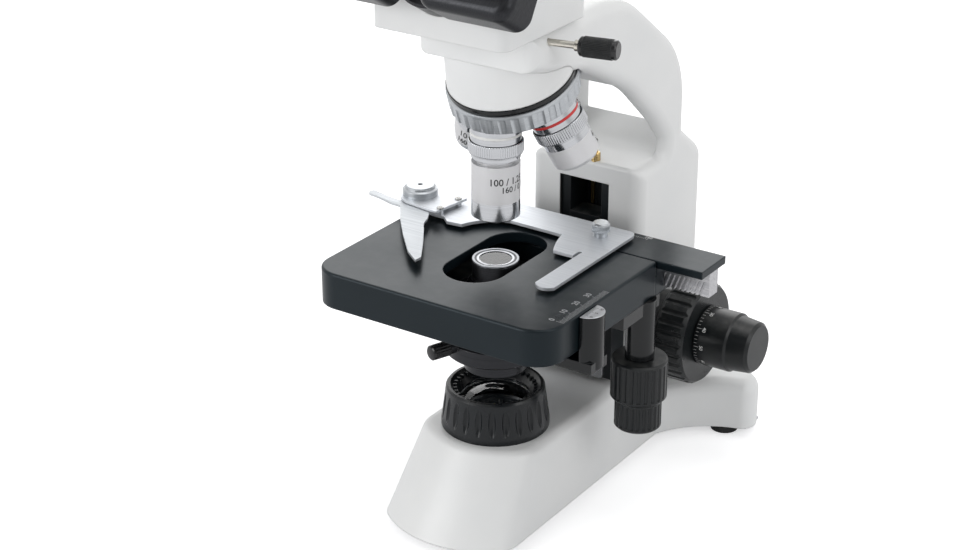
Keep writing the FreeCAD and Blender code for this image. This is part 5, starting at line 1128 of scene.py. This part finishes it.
# %% Screws
screw_steel = bright_metal("screw_steel", (0.50, 0.49, 0.46), (0.36, 0.35, 0.33), 0.24,
                           UPRIGHT_AXLE, pitch=0.0004)
cover_top = box("finger_cover")[1].z
plate_low, plate_high = (Vector(corner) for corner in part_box("bracket_cover"))
plate_z = (plate_low.z + plate_high.z) / 2
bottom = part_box("bottom_cover")[0][2]
screws = {
    "cover_screws": ("holder", 1.75, 0.85, [
        at(pivot_point.x / MM + x, pivot_point.y / MM + y, cover_top - 0.65)
        for x, y in ((18.5, -9.5), (19.0, 5.0))]),
    "bracket_screws": ("stage_lift", 1.9, 0.8, [
        aimed((side * (plate_high.x - 4 * MM), plate_low.y, plate_z), (0, -1, 0))
        for side in (-1, 1)]),
    "bottom_screws": ("stand", 2.6, 0.9, [
        aimed((x * MM, y * MM, bottom), (0, 0, -1), (0, 1, 0))
        for x, y in ((-22, -36), (22, -36), (-28, 60), (28, 60), (-40, 134), (40, 134))])}
for name, (body, head, height, places) in screws.items():
    heads = bmesh.new()
    for place in places:
        screw_head(heads, place, head, height)
    new_piece(name, heads, screw_steel, body, sharp=25)
    print(name, len(places))

# %% [markdown]
# The thumb screw is fluted, and the cap of the lock screw has a straight knurl that stops
# short of its smooth end.

# %% Flutes and knurls
LOCK_CAP = 4.35


def grip(radius, low, high, depth, lift, lip, slope):
    """The outline of a ribbed band: a lip at each end, then a slope up to the ribs."""
    return ((radius - depth, low), (radius, low + lip), (radius + lift, low + slope, 1),
            (radius + lift, high - slope, 1), (radius, high - lip), (radius - depth, high))


thumb_low, thumb_high = box("thumb_screw")
thumb_radius = (thumb_high.x - thumb_low.x) / 2
flutes = turn(grip(thumb_radius, thumb_low.z + 2.6, thumb_high.z - 0.9, 0.4, 0.05, 0, 0.2),
              at(thumb_point.x / MM, thumb_point.y / MM), ribs=30, rib_height=0.2)
new_piece("thumb_flutes", flutes, nodes["thumb_screw"].material_slots[0].material, "holder",
          sharp=20)

reach = lock_reach / MM
knurl = turn(grip(LOCK_CAP, -16.6, -2.8, 0.3, 0.03, 0.1, 0.4),
             aimed(lock_point, lock_axis) @ at(0, 0, reach), ribs=40, rib_height=0.24)
new_piece("lock_knurl", knurl, knob_plastic, "lock", sharp=20)
print("thumb screw radius", round(thumb_radius, 1), "mm, lock cap reaches", round(reach, 1))

# %% [markdown]
# A brass stop screw stands on the arm's ledge.  It is set to keep the stage from running a
# specimen into the objectives, and its thin pin has a dark tip.

# %% Stop screw
LEDGE = 153.0
STOP_X = 4.5
foot = at(STOP_X, guide_low.y + 1.0)
stop_place = foot @ at(0, 0, LEDGE)
turned_brass = bright_metal("turned_brass", *BRASS, 0.22, (foot.translation, UP))
stop = turn(((0, -0.5), (2.3, -0.5), (2.3, 3.6), (1.9, 4.2), (1.1, 4.2), (1.1, 5.2),
             (0.55, 5.4), (0.55, 9.0), (0, 9.0)), stop_place, steps=32)
new_piece("stop_screw", stop, turned_brass, "stand")
tip = turn(((0, 8.8), (0.8, 8.9), (0.9, 9.4), (0.8, 10.6), (0.4, 11.0), (0, 11.0)),
           stop_place, steps=24)
new_piece("stop_tip", tip, gloss_black, "stand")
print("stop screw stands at", [round(part / MM, 1) for part in stop_place.translation])

# %% [markdown]
# Each eyepiece has a lens of coated glass behind its cup, held by a ring, and a ribbed grip.
# The ring on the left tube carries the dioptre scale.

# %% Eyepiece details
DIOPTER_RING = 16.5
diopter_point, tube_axis = hinge("diopter_turn")
eye_glass = optical_glass("eye_glass", (0.80, 0.86, 0.96), (0.70, 0.80, 0.92))
for side, name in ((1, "left"), (-1, "right")):
    centre = Vector((side * diopter_point.x, diopter_point.y, diopter_point.z))
    seat = aimed(centre, tube_axis)
    rim = (far_point(name + "_eyepiece", tube_axis) - centre).dot(tube_axis) / MM
    body = name + "_tube"
    top = seat @ at(0, 0, rim)
    bowl = turn(((0, -7.2), (9.4, -7.2), (9.6, -6.0), (8.2, -5.1), (5.0, -4.4), (2.4, -4.15),
                 (0, -4.1)), top, steps=64)
    new_piece(name + "_eye_lens", bowl, eye_glass, body, sharp=40)
    collar = turn(((9.5, -7.2), (11.4, -7.2), (11.4, -3.6), (10.4, -2.9), (9.5, -4.6)), top,
                  steps=64)
    new_piece(name + "_lens_ring", collar, gloss_black, body)
    band = turn(grip(16.0, -22.5, -10.5, 0.3, 0.05, 0.2, 0.5), top, ribs=60, rib_height=0.35)
    new_piece(name + "_eyepiece_grip", band, eyepiece_plastic, body, sharp=20)
    print(name, "eyepiece rim", round(rim, 1), "mm above the tube's end")

seat = aimed(diopter_point, tube_axis)
heights = [(vertex.co - diopter_point).dot(tube_axis) / MM
           for vertex in nodes["diopter_ring"].data.vertices]
ring_low, ring_high = min(heights), max(heights)
upper = side_angle(seat, UP)
marks = bmesh.new()
for number in range(-4, 5, 2):
    wrapped_figures(marks, str(abs(number)), 3.0, seat, DIOPTER_RING, upper + 9 * number - 3,
                    (ring_low + ring_high) / 2 - 0.4)
for number in range(-4, 5):
    block(marks, (DIOPTER_RING - 0.02, -0.1, ring_low + 0.6),
          (DIOPTER_RING + 0.05, 0.1, ring_low + 2.4),
          seat @ turned(math.radians(upper + 9 * number)))
new_piece("diopter_marks", marks, white_ink, "diopter")
print("dioptre ring from", round(ring_low, 1), "to", round(ring_high, 1), "mm")

# %% [markdown]
# The fine focus knobs have a graduated drum: fifty lines, with a figure every fifth.

# %% Fine focus drums
DRUM_LINES = 50
coarse_face = box("coarse_knobs")[1].x
drum = max(math.hypot(vertex.co.y - focus_point.y, vertex.co.z - focus_point.z)
           for vertex in nodes["fine_knobs"].data.vertices
           if abs(vertex.co.x) / MM < coarse_face + 8) / MM
drum_marks = bmesh.new()
for side in (-1, 1):
    seat = aimed(focus_point, (side, 0, 0))
    for step in range(DRUM_LINES):
        block(drum_marks, (drum - 0.02, -0.09, coarse_face + 1.2),
              (drum + 0.05, 0.09, coarse_face + 1.2 + graduation(step, 2.6, 2.6, 1.5)),
              seat @ turned(2 * math.pi * step / DRUM_LINES))
    for number in range(10):
        wrapped_figures(drum_marks, str(number * 10), 2.6, seat, drum, 36 * number - 4,
                        coarse_face + 4.4)
new_piece("drum_marks", drum_marks, white_ink, "fine")
print("fine focus drum radius", round(drum, 1), "mm")

# %% [markdown]
# At the back and the side are the electric parts: a pin in the power inlet, the marks on the
# switch, and a ribbed rim with a pointer on the brightness dial.

# %% Electric details
inlet = middle("power_inlet")
pin_metal = bright_metal("pin_metal", *SILVER, 0.2, (inlet, (0, 1, 0)))
pin = turn(((0, -8.6), (1.0, -8.6), (1.0, -1.6), (0.6, -1.1), (0, -1.0)),
           aimed((inlet.x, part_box("power_inlet")[1][1], inlet.z), (0, 1, 0)), steps=24)
new_piece("inlet_pin", pin, pin_metal, "stand")

switch_low, switch_high = box("power_switch")
switch_x = middle("power_switch").x / MM
facing_back = Matrix(((-1, 0, 0), (0, 0, 1), (0, 1, 0))).to_4x4()
switch_marks = bmesh.new()
for text, z in (("I", switch_high.z - 4.0), ("O", switch_low.z + 4.0)):
    flat_figures(switch_marks, text, 3.4, at(switch_x, switch_high.y + 0.02, z) @ facing_back)
new_piece("switch_marks", switch_marks, white_ink, "switch")

dial_point = hinge("dial_turn")[0]
dial_low, dial_high = box("brightness_dial")
dial = (dial_high.z - dial_low.z) / 2
face = aimed((dial_low.x * MM, dial_point.y, dial_point.z), (-1, 0, 0))
new_piece("dial_grip", turn(grip(dial, -6.2, -0.8, 0.4, 0.02, 0.1, 0.4), face, ribs=48,
                            rib_height=0.35), knob_plastic, "dial", sharp=20)
pointer = block(bmesh.new(), (dial - 5.5, -0.35, 0), (dial - 1.2, 0.35, 0.06), face)
new_piece("dial_pointer", pointer, white_ink, "dial")
print("electric details placed")
